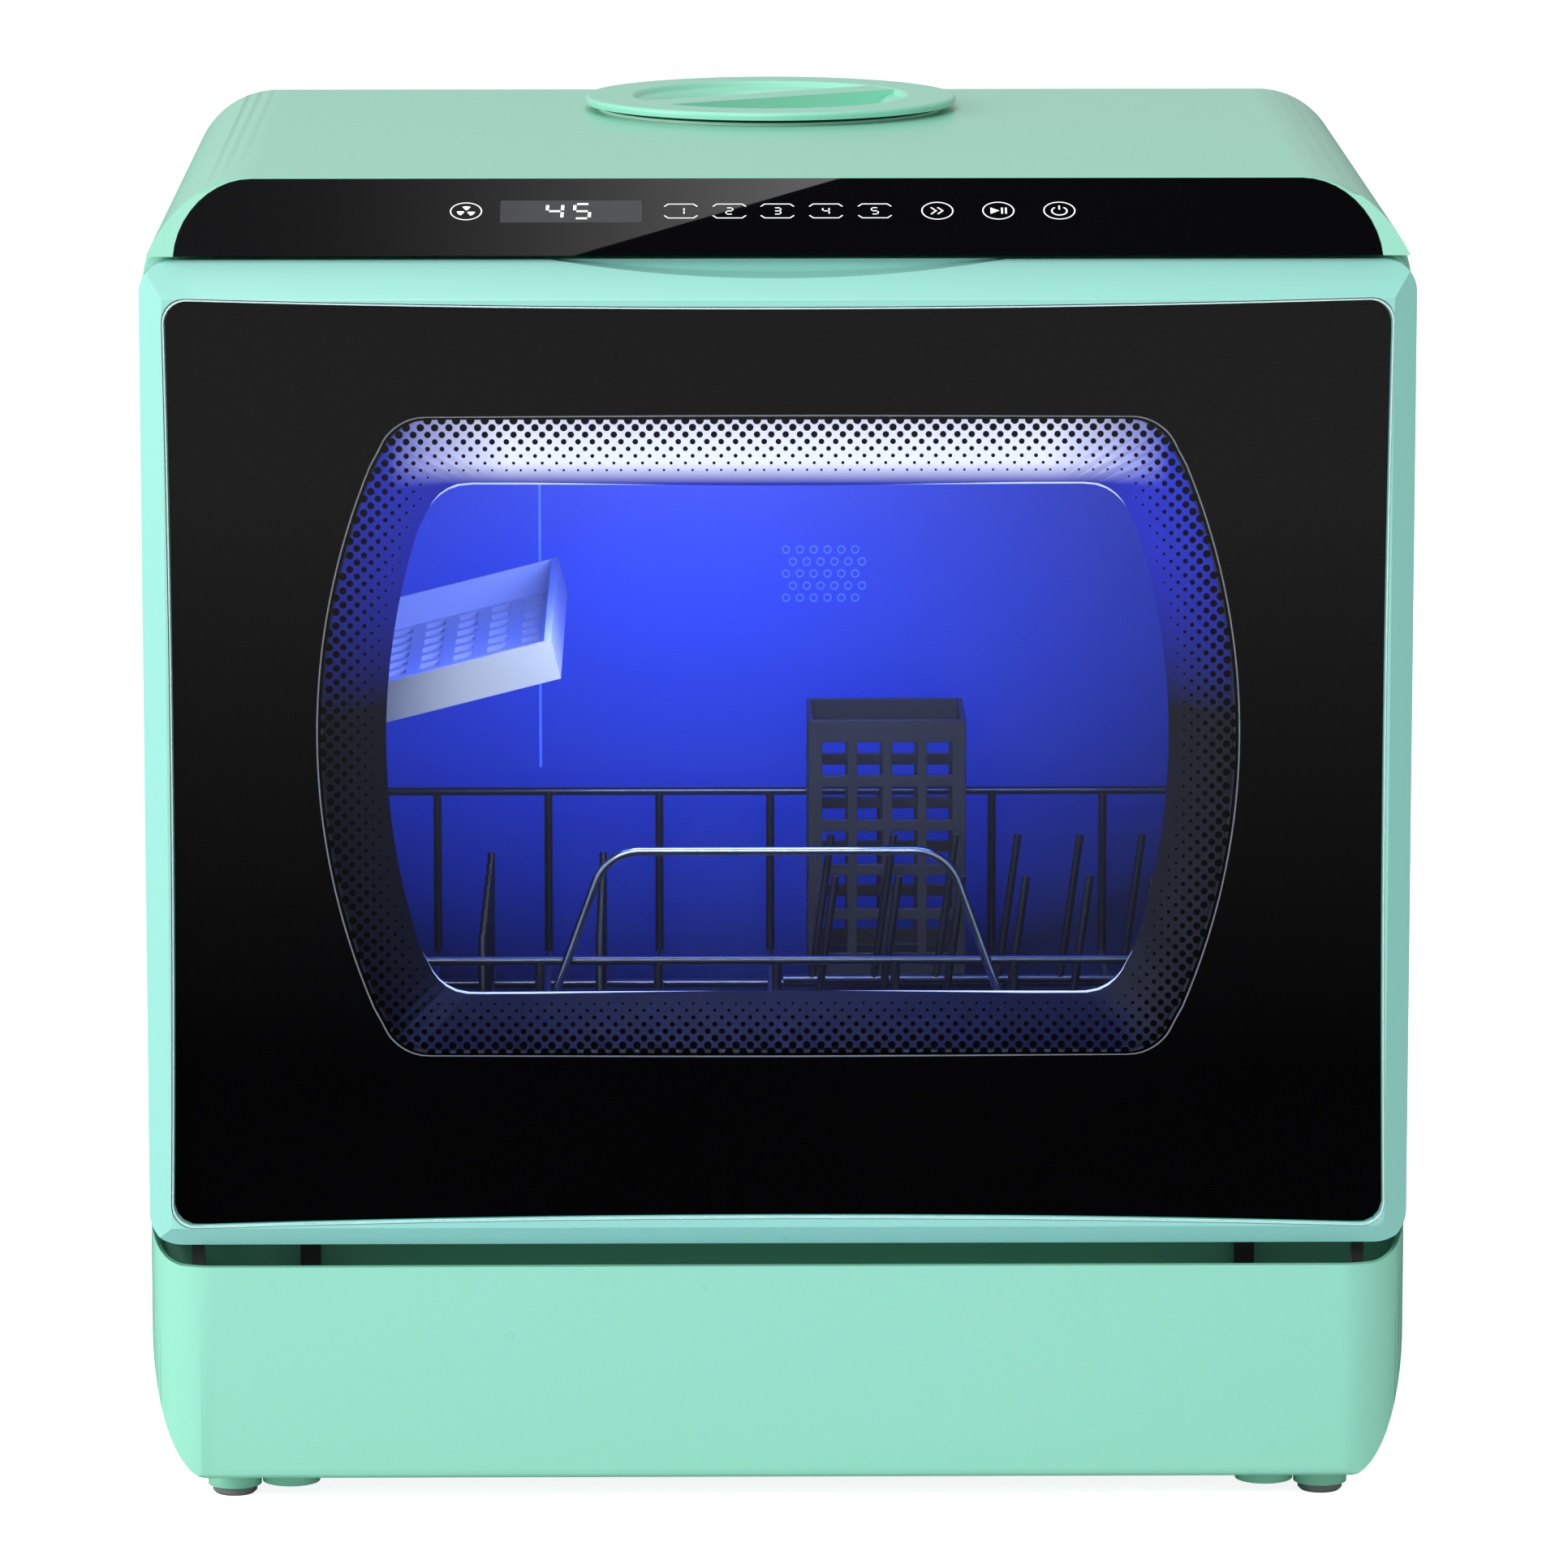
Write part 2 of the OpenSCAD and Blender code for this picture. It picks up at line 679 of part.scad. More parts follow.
module tub_outline(t) {
    rounded([-tub_half - t, tub_floor - t], [tub_half + t, tub_top + t], tub_r + t);
}

module door_seal() {
    color("#2a2c2e") difference() {
        upright(rim_y - 1.2, rim_y) tub_outline(seal_out);
        upright(rim_y - 2, rim_y + 1) tub_outline(seal_in);
    }
}

module wash_tub() {
    color("#b9c4d6") difference() {
        upright(tub_front, tub_back + tub_wall) tub_outline(tub_wall);
        upright(tub_front - 1, tub_back) tub_outline(0);
        translate([0, hub_y, tub_floor - 10]) cylinder(r = sump_in + 2 + gap, h = 15);
        translate([0, hub_y, tub_top - 5]) cylinder(r = 8 + gap, h = 10);
    }
}

module light_strip() {
    color("#2030ff") block([66 - tub_half, tub_front + 14, tub_top - 5], [tub_half - 66, tub_front + 22, tub_top]);
}

// Fixed spray rose under the tub's ceiling
module upper_spray() {
    color("#d5d9dc") translate([0, hub_y, 0]) difference() {
        union() {
            translate([0, 0, tub_top - 5]) cylinder(r = 34, h = 5);
            translate([0, 0, tub_top - 1]) cylinder(r = 8, h = tub_wall + 1);
        }
        for (a = [0:45:315]) rotate(a) translate([24, 0, tub_top - 6]) cylinder(r = 1.5, h = 4);
    }
}

// Spinning lower spray arm
module lower_spray_arm() {
    tip = arm_reach - 9;
    color("#d5d9dc") translate([0, hub_y, arm_z]) difference() {
        union() {
            cylinder(r = 17, h = 8);
            linear_extrude(8) {
                polygon([[-tip, -9], [0, -14], [tip, -9], [tip, 9], [0, 14], [-tip, 9]]);
                for (s = [-1, 1]) translate([s * tip, 0]) circle(9);
            }
        }
        translate([0, 0, -1]) cylinder(r = hub_r + run, h = 10);
        for (s = [-1, 1], x = [35:25:arm_reach - 12]) translate([s * x, s * 3, 6]) cylinder(r = 1.6, h = 3);
    }
}

module spray_hub() {
    color("#7c8287") translate([0, hub_y, 0]) union() {
        translate([0, 0, tub_floor]) cylinder(r = 13, h = arm_z - tub_floor - 0.5);
        cylinder_between(hub_r, tub_floor, arm_z + 8.5);
        translate([0, 0, arm_z + 8.5]) cylinder(r = 11, h = 3);
    }
}

module cylinder_between(r, z0, z1) {
    translate([0, 0, z0]) cylinder(r = r, h = z1 - z0);
}

module sump() {
    z0 = pan_z + 25;
    color(grey) translate([0, hub_y, 0]) difference() {
        union() {
            cylinder_between(sump_in + 6, z0, tub_floor - tub_wall);
            cylinder_between(sump_in + 16, tub_floor - tub_wall - 4, tub_floor - tub_wall);
            for (a = [45:90:315]) rotate(a) translate([sump_in, 0, 0]) cylinder_between(4, pan_z, z0 + 1);
        }
        cylinder_between(sump_in, z0 + 3, tub_floor);
    }
}

module filter_plate() {
    color("#c4c9cd") translate([0, hub_y, 0]) difference() {
        cylinder_between(sump_in + 2, tub_floor - tub_wall, tub_floor);
        translate([cup_off.x, cup_off.y, 0]) cylinder_between(12 + gap, 0, tub_floor + 1);
        for (a = [0:30:330]) if (a != 240 && a != 210)
            rotate(a) translate([28, 0, 0]) cylinder_between(4, 0, tub_floor + 1);
    }
}

// Filter cup that turns to unlock
module filter_cup() {
    color("#7c8287") translate([cup_off.x, hub_y + cup_off.y, 0]) difference() {
        union() {
            cylinder_between(12, 62, tub_floor);
            cylinder_between(13.5, tub_floor + gap, tub_floor + 2);
            cylinder_between(12, tub_floor - 1, tub_floor + 1);
            block([-2, -11, tub_floor + 1], [2, 11, tub_floor + 7]);
        }
        cylinder_between(10, 64, tub_floor);
        for (a = [0:60:300], z = [70:8:92]) rotate(a) translate([11, 0, z]) rotate([0, 90, 0])
            cylinder(r = 2, h = 6, center = true);
    }
}

module heater() {
    r = 78;
    color("#6d6f72") translate([0, hub_y, tub_floor + 4]) rotate_extrude() translate([r, 0]) circle(3.7);
}

// Rack: floor grid of long wires resting on cross wires
module rack_floor() {
    r = wire_d / 2;
    color(black) {
        for (i = [-4:4]) rod([i * rack_half / 4, rack_y0, rack_z], [i * rack_half / 4, rack_y1, rack_z], r);
        for (i = [0:5]) let (y = rack_y0 + 3 + i * (rack_y1 - rack_y0 - 6) / 5)
            rod([-rack_half - r, y, rack_z - r * 1.5], [rack_half + r, y, rack_z - r * 1.5], r);
    }
}

// Rims and uprights; the rear rim stands higher
module rack_rims() {
    r = wire_d / 2;
    x = rack_half + wire_d + weld;
    y0 = rack_y0 - r - weld;
    y1 = rack_y1 + r + weld;
    color(black) {
        rod([-x, y0, rim_z], [x, y0, rim_z], r);
        rod([-x, y1, rear_rim_z], [x, y1, rear_rim_z], r);
        for (s = [-1, 1]) {
            rod([s * x, y0, rim_z], [s * x, y1, rear_rim_z], r);
            for (p = [[y0, rim_z], [y1, rear_rim_z]]) translate([s * x, p[0], p[1]]) sphere(r * 1.04);
        }
        for (i = [-4:4], p = [[y0, rim_z], [y1, rear_rim_z]])
            rod([i * rack_half / 4, p[0], rack_z - r * 1.2], [i * rack_half / 4, p[0], p[1]], r);
        for (s = [-1, 1], i = [1:4]) let (u = i / 5, y = y0 + u * (y1 - y0))
            rod([s * x, y, rack_z - 2 * r], [s * x, y, rim_z + u * (rear_rim_z - rim_z)], r);
    }
}

// Bright handle arch on the front rim: a flat top, two round bends and two splayed legs
module rack_handle() {
    r = wire_d / 2;
    bend = 16;
    splay = 20;
    top = rim_z + arch_h;
    foot = [cos(splay), sin(splay)] * bend + [arch_half, top - bend];
    leg = (foot.y - rim_z + 9) / cos(splay);
    into = 1; // the straight stretches reach this far into the bends, a hair thinner than they
    color("#c7ccd2") translate([0, rack_y0 - 3 * r - 2 * weld, 0]) union() {
        rod([-arch_half - into, 0, top], [arch_half + into, 0, top], r * 0.98);
        pair() {
            translate([arch_half, 0, top - bend]) rotate([90, 0, 0]) rotate([0, 0, splay])
                rotate_extrude(angle = 90 - splay) translate([bend, 0]) circle(r);
            rod([foot.x - into * sin(splay), 0, foot.y + into * cos(splay)],
                [foot.x + leg * sin(splay), 0, foot.y - leg * cos(splay)], r * 0.98);
        }
    }
}

// Slanted tines that hold the plates: two rows along X on the right, two along Y on the left
module rack_tines() {
    r = wire_d / 2;
    z = rack_z + wire_d + weld;
    zl = rack_z - wire_d / 4 + wire_d / 2 + weld;
    color(black) {
        for (y = [basket_y - 94, basket_y - 14]) {
            rod([4, y, z], [rack_half - 4, y, z], r);
            for (x = [14:tine_step:rack_half - 8]) rod([x, y, z], [x + 7, y, z + tine_h], r * 0.9);
        }
        for (x = [-2.5, -1.5] * rack_half / 4) {
            rod([x, rack_y0 + 10, zl], [x, rack_y1 - 10, zl], r);
            for (y = [rack_y0 + 24:tine_step:rack_y1 - 24]) rod([x, y, zl], [x, y + 9, zl + tine_h * 0.8], r * 0.9);
        }
    }
}

module rack_feet() {
    z1 = rack_z - 1.25 * wire_d;
    ym = (rack_y0 + rack_y1) / 2;
    color(grey) translate([0, ym, 0]) corners(rack_half - 14, (rack_y1 - rack_y0) / 2 - 3)
        cylinder_between(5, tub_floor, z1);
}

// Sloping cup shelf with three raised sides and a slotted floor, turning on a rod beside the tub wall
module cup_shelf() {
    color("#a9adb0") translate([shelf_x, shelf_y, shelf_z]) rotate([0, -shelf_tilt, 0]) union() {
        difference() {
            block([2, 0, -1.5], [shelf_w, shelf_d, 12]);
            block([-1, 2.5, 1], [shelf_w - 2.5, shelf_d - 2.5, 13]);
            for (i = [0:6], j = [0:9]) translate([13 + i * 12, 10 + j * 17.8, -3]) cube([7, 12, 6]);
        }
        rotate([-90, 0, 0]) translate([0, 0, -6]) cylinder(r = pin_r, h = shelf_d + 12);
    }
}

module shelf_brackets() {
    color("#b9c4d6") for (y = [shelf_y - 6, shelf_y + shelf_d + 1]) difference() {
        block([-tub_half, y, shelf_z - 6], [shelf_x + 6, y + 5, shelf_z + 6]);
        translate([shelf_x, y - 1, shelf_z]) rotate([-90, 0, 0]) cylinder(r = pin_r + run, h = 7);
    }
}

// Black lattice basket for cutlery
module cutlery_basket() {
    w = basket_w;
    d = basket_d;
    color(black) translate([basket_x, basket_y, rack_z + wire_d / 2 + gap]) difference() {
        cube([w, d, basket_h]);
        translate([1.8, 1.8, 2]) cube([w - 3.6, d - 3.6, basket_h]);
        for (i = [0:3], k = [0:4]) translate([5 + i * 12.4, -1, 8 + k * 16]) cube([9, d + 2, 12]);
        for (i = [0:2], k = [0:4]) translate([-1, 5 + i * 13.4, 8 + k * 16]) cube([w + 2, 10, 12]);
    }
}

// Inside the base: motor pump on a cradle, its volute and impeller, drain pump
module wash_pump() {
    color("#5b6066") difference() {
        union() {
            translate([0, pump_y, pump_z]) rotate([-90, 0, 0]) cylinder(r = 25, h = 60);
            block([-16, pump_y + 6, pan_z], [16, pump_y + 54, pump_z]);
        }
        translate([0, pump_y - 1, pump_z]) rotate([-90, 0, 0]) cylinder(r = 3 + run, h = 41);
    }
}

module pump_volute() {
    color(grey) difference() {
        union() {
            translate([0, pump_y - 22, pump_z]) rotate([-90, 0, 0]) cylinder(r = 27, h = 22);
            translate([0, hub_y + sump_in + 6 + gap, pump_z + 4]) rotate([-90, 0, 0])
                cylinder(r = 9, h = pump_y - 22 - hub_y - sump_in - 5);
        }
        translate([0, pump_y - 19, pump_z]) rotate([-90, 0, 0]) cylinder(r = 24, h = 22);
        translate([0, hub_y + sump_in + 5, pump_z + 4]) rotate([-90, 0, 0]) cylinder(r = 7, h = 40);
    }
}

module pump_impeller() {
    color("#d5d9dc") translate([0, pump_y, pump_z]) rotate([-90, 0, 0]) union() {
        translate([0, 0, -15]) cylinder(r = 9, h = 11);
        translate([0, 0, -15]) cylinder(r = 20, h = 2);
        translate([0, 0, -5]) cylinder(r = 3, h = 40);
        for (a = [0:60:300]) rotate(a) translate([6, -1, -14]) cube([14, 2, 9]);
    }
}

module drain_pump() {
    color("#5b6066") union() {
        translate([drain_x, y_rear - 112, port_z]) rotate([-90, 0, 0]) cylinder(r = 17, h = 60);
        block([drain_x - 12, y_rear - 108, pan_z], [drain_x + 12, y_rear - 58, port_z]);
    }
}

// Hose spigot that ends flush in the rear wall
module drain_outlet() {
    color("#d5d9dc") translate([drain_x, y_rear - 52 + gap, port_z]) rotate([-90, 0, 0]) difference() {
        union() {
            cylinder(r = drain_r + 2, h = 51);
            cylinder(r = drain_r + 9, h = 3);
            translate([0, 0, 52 - gap - wall]) cylinder(r = drain_r + wall, h = wall - 0.5);
        }
        translate([0, 0, -1]) cylinder(r = drain_r, h = 60);
    }
}

// Round bush in the rear wall where the mains lead leaves
module mains_inlet() {
    color(black) translate([mains_x, y_rear, port_z]) rotate([90, 0, 0]) rotate_extrude()
        polygon([[3.5, 0.3], [gland_r, 0.3], [gland_r, wall + 0.1], [gland_r + 4, wall + 0.1],
            [gland_r + 4, 12], [3.5, 12]]);
}

// Water tank hung on the back of the tub
module inlet_tank() {
    y0 = tub_back + tub_wall + gap;
    color("#dfe6ea", 0.6) difference() {
        block([tank_x0, y0, tank_z0], [tank_x1, tank_y1, tank_z1]);
        block([tank_x0 + 2, y0 + 2, tank_z0 + 2], [tank_x1 - 2, tank_y1 - 2, tank_z1 - 2]);
        translate([0, spout_y, tank_z1 - 5]) cylinder(r = spout_r + spout_wall + gap, h = 10);
    }
}

module tank_float() {
    color("#e08a2a") translate([float_x, (tub_back + tub_wall + tank_y1) / 2, tank_z0 + 2 + gap])
        cylinder(r = 14, h = 16);
}

module control_board() {
    x0 = 14 - tub_half;
    y0 = tub_back + tub_wall + gap;
    z0 = fan_z - 185;
    color("#1f5a3a") union() {
        block([x0, y0, z0], [x0 + 80, y0 + board_t, z0 + 110]);
        block([x0 + 12, y0 + 1, z0 + 10], [x0 + 42, y0 + 22, z0 + 40]);
        block([x0 + 52, y0 + 1, z0 + 60], [x0 + 72, y0 + 16, z0 + 95]);
        for (i = [0:3]) translate([x0 + 22, y0 + 1, z0 + 55 + 12 * i]) rotate([-90, 0, 0])
            cylinder(r = 4.5, h = 14);
    }
}

module fan_housing() {
    y0 = tub_back + tub_wall + gap;
    color("#2a2c2e") difference() {
        block([fan_x - 31, y0, fan_z - 31], [fan_x + 31, y0 + 20, fan_z + 31]);
        translate([fan_x, y0 + 2, fan_z]) rotate([-90, 0, 0]) difference() {
            cylinder(r = 28, h = 20);
            translate([0, 0, -1]) cylinder(r = 3, h = 10);
        }
    }
}

module fan_rotor() {
    y0 = tub_back + tub_wall + gap;
    color(grey) translate([fan_x, y0 + 2.5, fan_z]) rotate([-90, 0, 0]) difference() {
        union() {
            cylinder(r = 11, h = 14);
            for (a = [0:51.43:310]) rotate(a) translate([9, -1, 2]) rotate([30, 0, 0]) cube([17, 1.5, 11]);
        }
        translate([0, 0, -1]) cylinder(r = 3 + run, h = 9.5);
    }
}

// Duct from the fan to the rear grille
module air_duct() {
    y0 = tub_back + tub_wall + 20 + 2 * gap;
    color("#c9ced2") difference() {
        block([fan_x - 31, y0, fan_z - 31], [fan_x + 31, y_rear - wall - 2 - gap, fan_z + 31]);
        block([fan_x - 28.5, y0 - 1, fan_z - 28.5], [fan_x + 28.5, y_rear, fan_z + 28.5]);
    }
}

// Basin under the fill opening: lip on the top, round wall, floor with a spout to the tank
module fill_funnel() {
    z0 = top_z - 28;
    color("#d5efe6") difference() {
        translate([0, cap_y, 0]) rotate_extrude() polygon([[0, z0 - 3], [fill_r, z0 - 3], [fill_r, top_z],
            [fill_r + 4, top_z], [fill_r + 4, top_z + 1], [fill_r - 2, top_z + 1], [fill_r - 2, z0], [0, z0]]);
        translate([0, spout_y, z0 - 5]) cylinder(r = spout_r, h = 10);
    }
    color("#d5efe6") translate([0, spout_y, 0]) difference() {
        cylinder_between(spout_r + spout_wall, tank_z1 - 1.6, z0 - 3);
        cylinder_between(spout_r, tank_z1 - 3, z0);
    }
}

module fill_seal() {
    color("#2a2c2e") translate([0, cap_y, 0]) rotate_extrude()
        translate([fill_r + 0.5, top_z + 1]) square([3, 1]);
}

// Cap: rounded rim, dished recess and a grip bar across it
module fill_cap() {
    z1 = top_z + cap_rise;
    z2 = top_z + 2 + gap;
    zr = z1 - cap_recess_h;
    r = cap_recess_r;
    color(mint) translate([0, cap_y, 0]) union() {
        rotate_extrude() polygon(concat(
            [[0, zr - 2], [plug_r - 2, zr - 2], [plug_r - 2, zr - 4], [plug_r, zr - 4]],
            [[plug_r, z2], [cap_r - 0.5, z2]],
            arc([cap_r - 1.5, z1 - 1.4], 1.4, 0, 90, 5),
            arc([r + 1.5, z1 - 1.5], 1.5, 90, 150, 3),
            [for (i = [0:8]) let (a = 11.25 * i)
                [r - 9 * sin(a) - 0.5, z1 - 2 - (cap_recess_h - 2) * (1 - cos(a))]],
            [[0, zr]]));
        rotate(cap_turn) intersection() {
            translate([0, 0, zr - 0.5]) linear_extrude(cap_recess_h + 0.5)
                square([2 * r, grip_w], center = true);
            translate([0, 0, zr - 0.5]) cylinder(r = r + 1, h = cap_recess_h + 0.3);
        }
    }
}

top_housing();
base_skirt();
bottom_pan();
rear_cover();
rear_grille();
base_bosses();
foot_pads();
control_panel();
display_lens();
display_board();
fill_funnel();
fill_seal();
fill_cap();
wash_tub();
mouth_frame();
door_seal();
door_frame();
door_glass();
bowl_window();
door_liner();
hinge_arms();
hinge_pins();
hinge_brackets();
door_bumpers();
latch_hook();
catch_bolt();
catch_guide();
light_strip();
upper_spray();
lower_spray_arm();
spray_hub();
sump();
filter_cup();
filter_plate();
rack_floor();
rack_rims();
rack_handle();
rack_tines();
rack_feet();
cup_shelf();
shelf_brackets();
cutlery_basket();
wash_pump();
pump_impeller();
pump_volute();
drain_pump();
drain_outlet();
heater();
inlet_tank();
tank_float();
control_board();
fan_housing();
fan_rotor();
air_duct();
mains_inlet();
cover_screws();
liner_screws();
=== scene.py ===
"""Countertop dishwasher: studio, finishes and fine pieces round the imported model. Units are metres."""
import math

import bmesh
import bpy
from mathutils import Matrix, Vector


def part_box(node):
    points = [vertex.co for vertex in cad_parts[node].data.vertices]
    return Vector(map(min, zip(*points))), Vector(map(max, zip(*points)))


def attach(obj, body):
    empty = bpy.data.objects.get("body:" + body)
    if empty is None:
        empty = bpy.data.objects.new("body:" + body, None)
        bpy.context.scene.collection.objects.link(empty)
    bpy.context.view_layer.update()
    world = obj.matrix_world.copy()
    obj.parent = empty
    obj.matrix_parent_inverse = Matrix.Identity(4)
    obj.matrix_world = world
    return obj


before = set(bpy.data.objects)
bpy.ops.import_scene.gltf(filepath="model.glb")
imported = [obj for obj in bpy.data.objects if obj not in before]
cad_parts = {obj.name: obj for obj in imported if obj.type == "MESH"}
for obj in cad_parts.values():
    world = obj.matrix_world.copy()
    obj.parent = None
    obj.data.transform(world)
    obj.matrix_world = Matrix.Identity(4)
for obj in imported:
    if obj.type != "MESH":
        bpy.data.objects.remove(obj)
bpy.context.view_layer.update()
MM = 0.001

# ---------------------------------------------------------------- sizes, from the frame where it has them
GLASS_LO, GLASS_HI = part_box("door_glass")
TUB_LO, TUB_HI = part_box("wash_tub")
BOWL_LO, BOWL_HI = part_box("bowl_window")
HOUSING_LO, HOUSING_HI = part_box("top_housing")
DOOR_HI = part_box("door_frame")[1]
GLASS_THICK = GLASS_HI.y - GLASS_LO.y
TUB_WALL = 2 * MM
PRINT = 0.05 * MM  # thickness of printed ink

# The window in the glass: bulging sides, flat top and bottom, round corners. The bowl's flange is wider
FLANGE_SIDE = 10 * MM
FLANGE_END = 8 * MM
WIN_Z0 = BOWL_LO.z + FLANGE_END
WIN_Z1 = BOWL_HI.z - FLANGE_END
WIN_MID = (WIN_Z0 + WIN_Z1) / 2
WIN_HALF = BOWL_HI.x - FLANGE_SIDE
WIN_SIDE_R = 235 * MM
WIN_CORNER_R = 16 * MM

# The slope of the control panel: its lower edge, and the axes up it and out of it
BEAM_GAP = 1.5 * MM  # from the door's top edge to the housing's beam
PANEL_RUN = 43 * MM  # the slope's depth seen from above
BEAM_Z = DOOR_HI.z + BEAM_GAP
SLOPE = math.atan2(HOUSING_HI.z - BEAM_Z, PANEL_RUN)
SLOPE_FOOT = Vector((0, HOUSING_LO.y, BEAM_Z))
SLOPE_UP = Vector((0, math.cos(SLOPE), math.sin(SLOPE)))
SLOPE_OUT = Vector((0, -math.sin(SLOPE), math.cos(SLOPE)))


def linear(code):
    """sRGB hex to a linear colour."""
    parts = [int(code[i:i + 2], 16) / 255 for i in (1, 3, 5)]
    return [c / 12.92 if c <= 0.04045 else ((c + 0.055) / 1.055) ** 2.4 for c in parts] + [1.0]


# ---------------------------------------------------------------- building materials
# How wide each pattern of the finishes is
CLOUDS = 150 * MM  # tint of a moulding
FLOW = 14 * MM  # flow marks in a moulding's gloss
BRUSHED = 50 * MM / 3  # a brushed line, before it is squeezed across
SAG = 7 * MM  # waves of a dipped coat
DRAW = 90 * MM  # draw marks of a clear sheet
CLOTH = 15.7 * MM  # bands of a circuit board's glass cloth
WAVE_TURN = 20  # radians that a wave texture runs through per metre at scale 1
HAZE = 30 * MM  # clouds in the tub's plastic
MILK = 6 * MM  # clouds in a milky lens

# Sockets of a colour mix, which go by number because each kind of value has its own
MIX_BY, MIX_A, MIX_B = 0, 6, 7
MIXED = 2


def blank(name):
    """A material with no nodes yet. Its glow isn't sampled as a lamp, which keeps specks out of renders."""
    mat = bpy.data.materials.new(name)
    mat.cycles.emission_sampling = "NONE"
    mat.use_nodes = True
    mat.node_tree.nodes.clear()
    return mat


def add(mat, kind, settings=None, links=None):
    """Adds one node with its settings (attributes or input values) and the sockets that feed its inputs."""
    node = mat.node_tree.nodes.new(kind)
    for key, value in (settings or {}).items():
        if isinstance(key, str) and key in node.bl_rna.properties:
            setattr(node, key, value)
        else:
            node.inputs[key].default_value = value
    for key, source in (links or {}).items():
        mat.node_tree.links.new(source, node.inputs[key])
    return node


def moulded(name, dark, light, gloss, skin_mm, depth_mm, **settings):
    """A moulded plastic or rubber: two close tints in broad clouds, flow marks in the gloss, and a skin
    texture whose bumps are skin_mm across and depth_mm deep."""
    mat = blank(name)
    place = add(mat, "ShaderNodeTexCoord").outputs["Object"]
    clouds = add(mat, "ShaderNodeTexNoise", {"Scale": 1 / CLOUDS, "Detail": 1.0}, {"Vector": place})
    colour = add(mat, "ShaderNodeMix", {"data_type": "RGBA", MIX_A: linear(dark), MIX_B: linear(light)},
                 {MIX_BY: clouds.outputs["Fac"]})
    flow = add(mat, "ShaderNodeTexNoise", {"Scale": 1 / FLOW}, {"Vector": place})
    rough = add(mat, "ShaderNodeMapRange", {"To Min": gloss[0], "To Max": gloss[1]},
                {"Value": flow.outputs["Fac"]})
    skin = add(mat, "ShaderNodeTexNoise", {"Scale": 1 / (skin_mm * MM), "Detail": 2.0}, {"Vector": place})
    bump = add(mat, "ShaderNodeBump", {"Distance": depth_mm * MM, "Strength": 0.3},
               {"Height": skin.outputs["Fac"]})
    sockets = {"IOR": 1.5}
    sockets.update({key.replace("_", " "): value for key, value in settings.items()})
    shader = add(mat, "ShaderNodeBsdfPrincipled", sockets,
                 {"Base Color": colour.outputs[MIXED], "Roughness": rough.outputs[0],
                  "Normal": bump.outputs[0]})
    add(mat, "ShaderNodeOutputMaterial", None, {"Surface": shader.outputs[0]})
    return mat


def brushed_metal(name, dark, light, gloss, along):
    """Metal with the long fine lines of brushing or drawing; along squeezes the noise across the lines."""
    mat = blank(name)
    place = add(mat, "ShaderNodeTexCoord").outputs["Object"]
    squeezed = add(mat, "ShaderNodeMapping", {"Scale": along}, {"Vector": place})
    lines = add(mat, "ShaderNodeTexNoise", {"Scale": 1 / BRUSHED, "Detail": 4.0},
                {"Vector": squeezed.outputs[0]})
    colour = add(mat, "ShaderNodeMix", {"data_type": "RGBA", MIX_A: linear(dark), MIX_B: linear(light)},
                 {MIX_BY: lines.outputs["Fac"]})
    rough = add(mat, "ShaderNodeMapRange", {"To Min": gloss[0], "To Max": gloss[1]},
                {"Value": lines.outputs["Fac"]})
    bump = add(mat, "ShaderNodeBump", {"Distance": 0.02 * MM, "Strength": 0.3},
               {"Height": lines.outputs["Fac"]})
    shader = add(mat, "ShaderNodeBsdfPrincipled", {"Metallic": 1.0},
                 {"Base Color": colour.outputs[MIXED], "Roughness": rough.outputs[0],
                  "Normal": bump.outputs[0]})
    add(mat, "ShaderNodeOutputMaterial", None, {"Surface": shader.outputs[0]})
    return mat


def coated_wire(name, dark, light, gloss, metallic):
    """Wire under a dipped or plated coat: smooth, so that the highlight wavers only a little along it."""
    mat = blank(name)
    place = add(mat, "ShaderNodeTexCoord").outputs["Object"]
    sag = add(mat, "ShaderNodeTexNoise", {"Scale": 1 / SAG, "Detail": 1.0}, {"Vector": place})
    colour = add(mat, "ShaderNodeMix", {"data_type": "RGBA", MIX_A: linear(dark), MIX_B: linear(light)},
                 {MIX_BY: sag.outputs["Fac"]})
    rough = add(mat, "ShaderNodeMapRange", {"To Min": gloss[0], "To Max": gloss[1]},
                {"Value": sag.outputs["Fac"]})
    bump = add(mat, "ShaderNodeBump", {"Distance": 0.1 * MM, "Strength": 0.2}, {"Height": sag.outputs["Fac"]})
    shader = add(mat, "ShaderNodeBsdfPrincipled",
                 {"Metallic": metallic, "Coat Weight": 0.4, "Coat Roughness": 0.06},
                 {"Base Color": colour.outputs[MIXED], "Roughness": rough.outputs[0],
                  "Normal": bump.outputs[0]})
    add(mat, "ShaderNodeOutputMaterial", None, {"Surface": shader.outputs[0]})
    return mat


def clear_sheet(name, colour, ior, gloss):
    """Glass or clear plastic: faint draw marks in the gloss are all that shows but edges and reflections."""
    mat = blank(name)
    place = add(mat, "ShaderNodeTexCoord").outputs["Object"]
    draw = add(mat, "ShaderNodeTexNoise", {"Scale": 1 / DRAW, "Detail": 1.0}, {"Vector": place})
    rough = add(mat, "ShaderNodeMapRange", {"To Min": gloss[0], "To Max": gloss[1]},
                {"Value": draw.outputs["Fac"]})
    shader = add(mat, "ShaderNodeBsdfPrincipled",
                 {"Base Color": linear(colour), "Transmission Weight": 1.0, "IOR": ior},
                 {"Roughness": rough.outputs[0]})
    add(mat, "ShaderNodeOutputMaterial", None, {"Surface": shader.outputs[0]})
    return mat


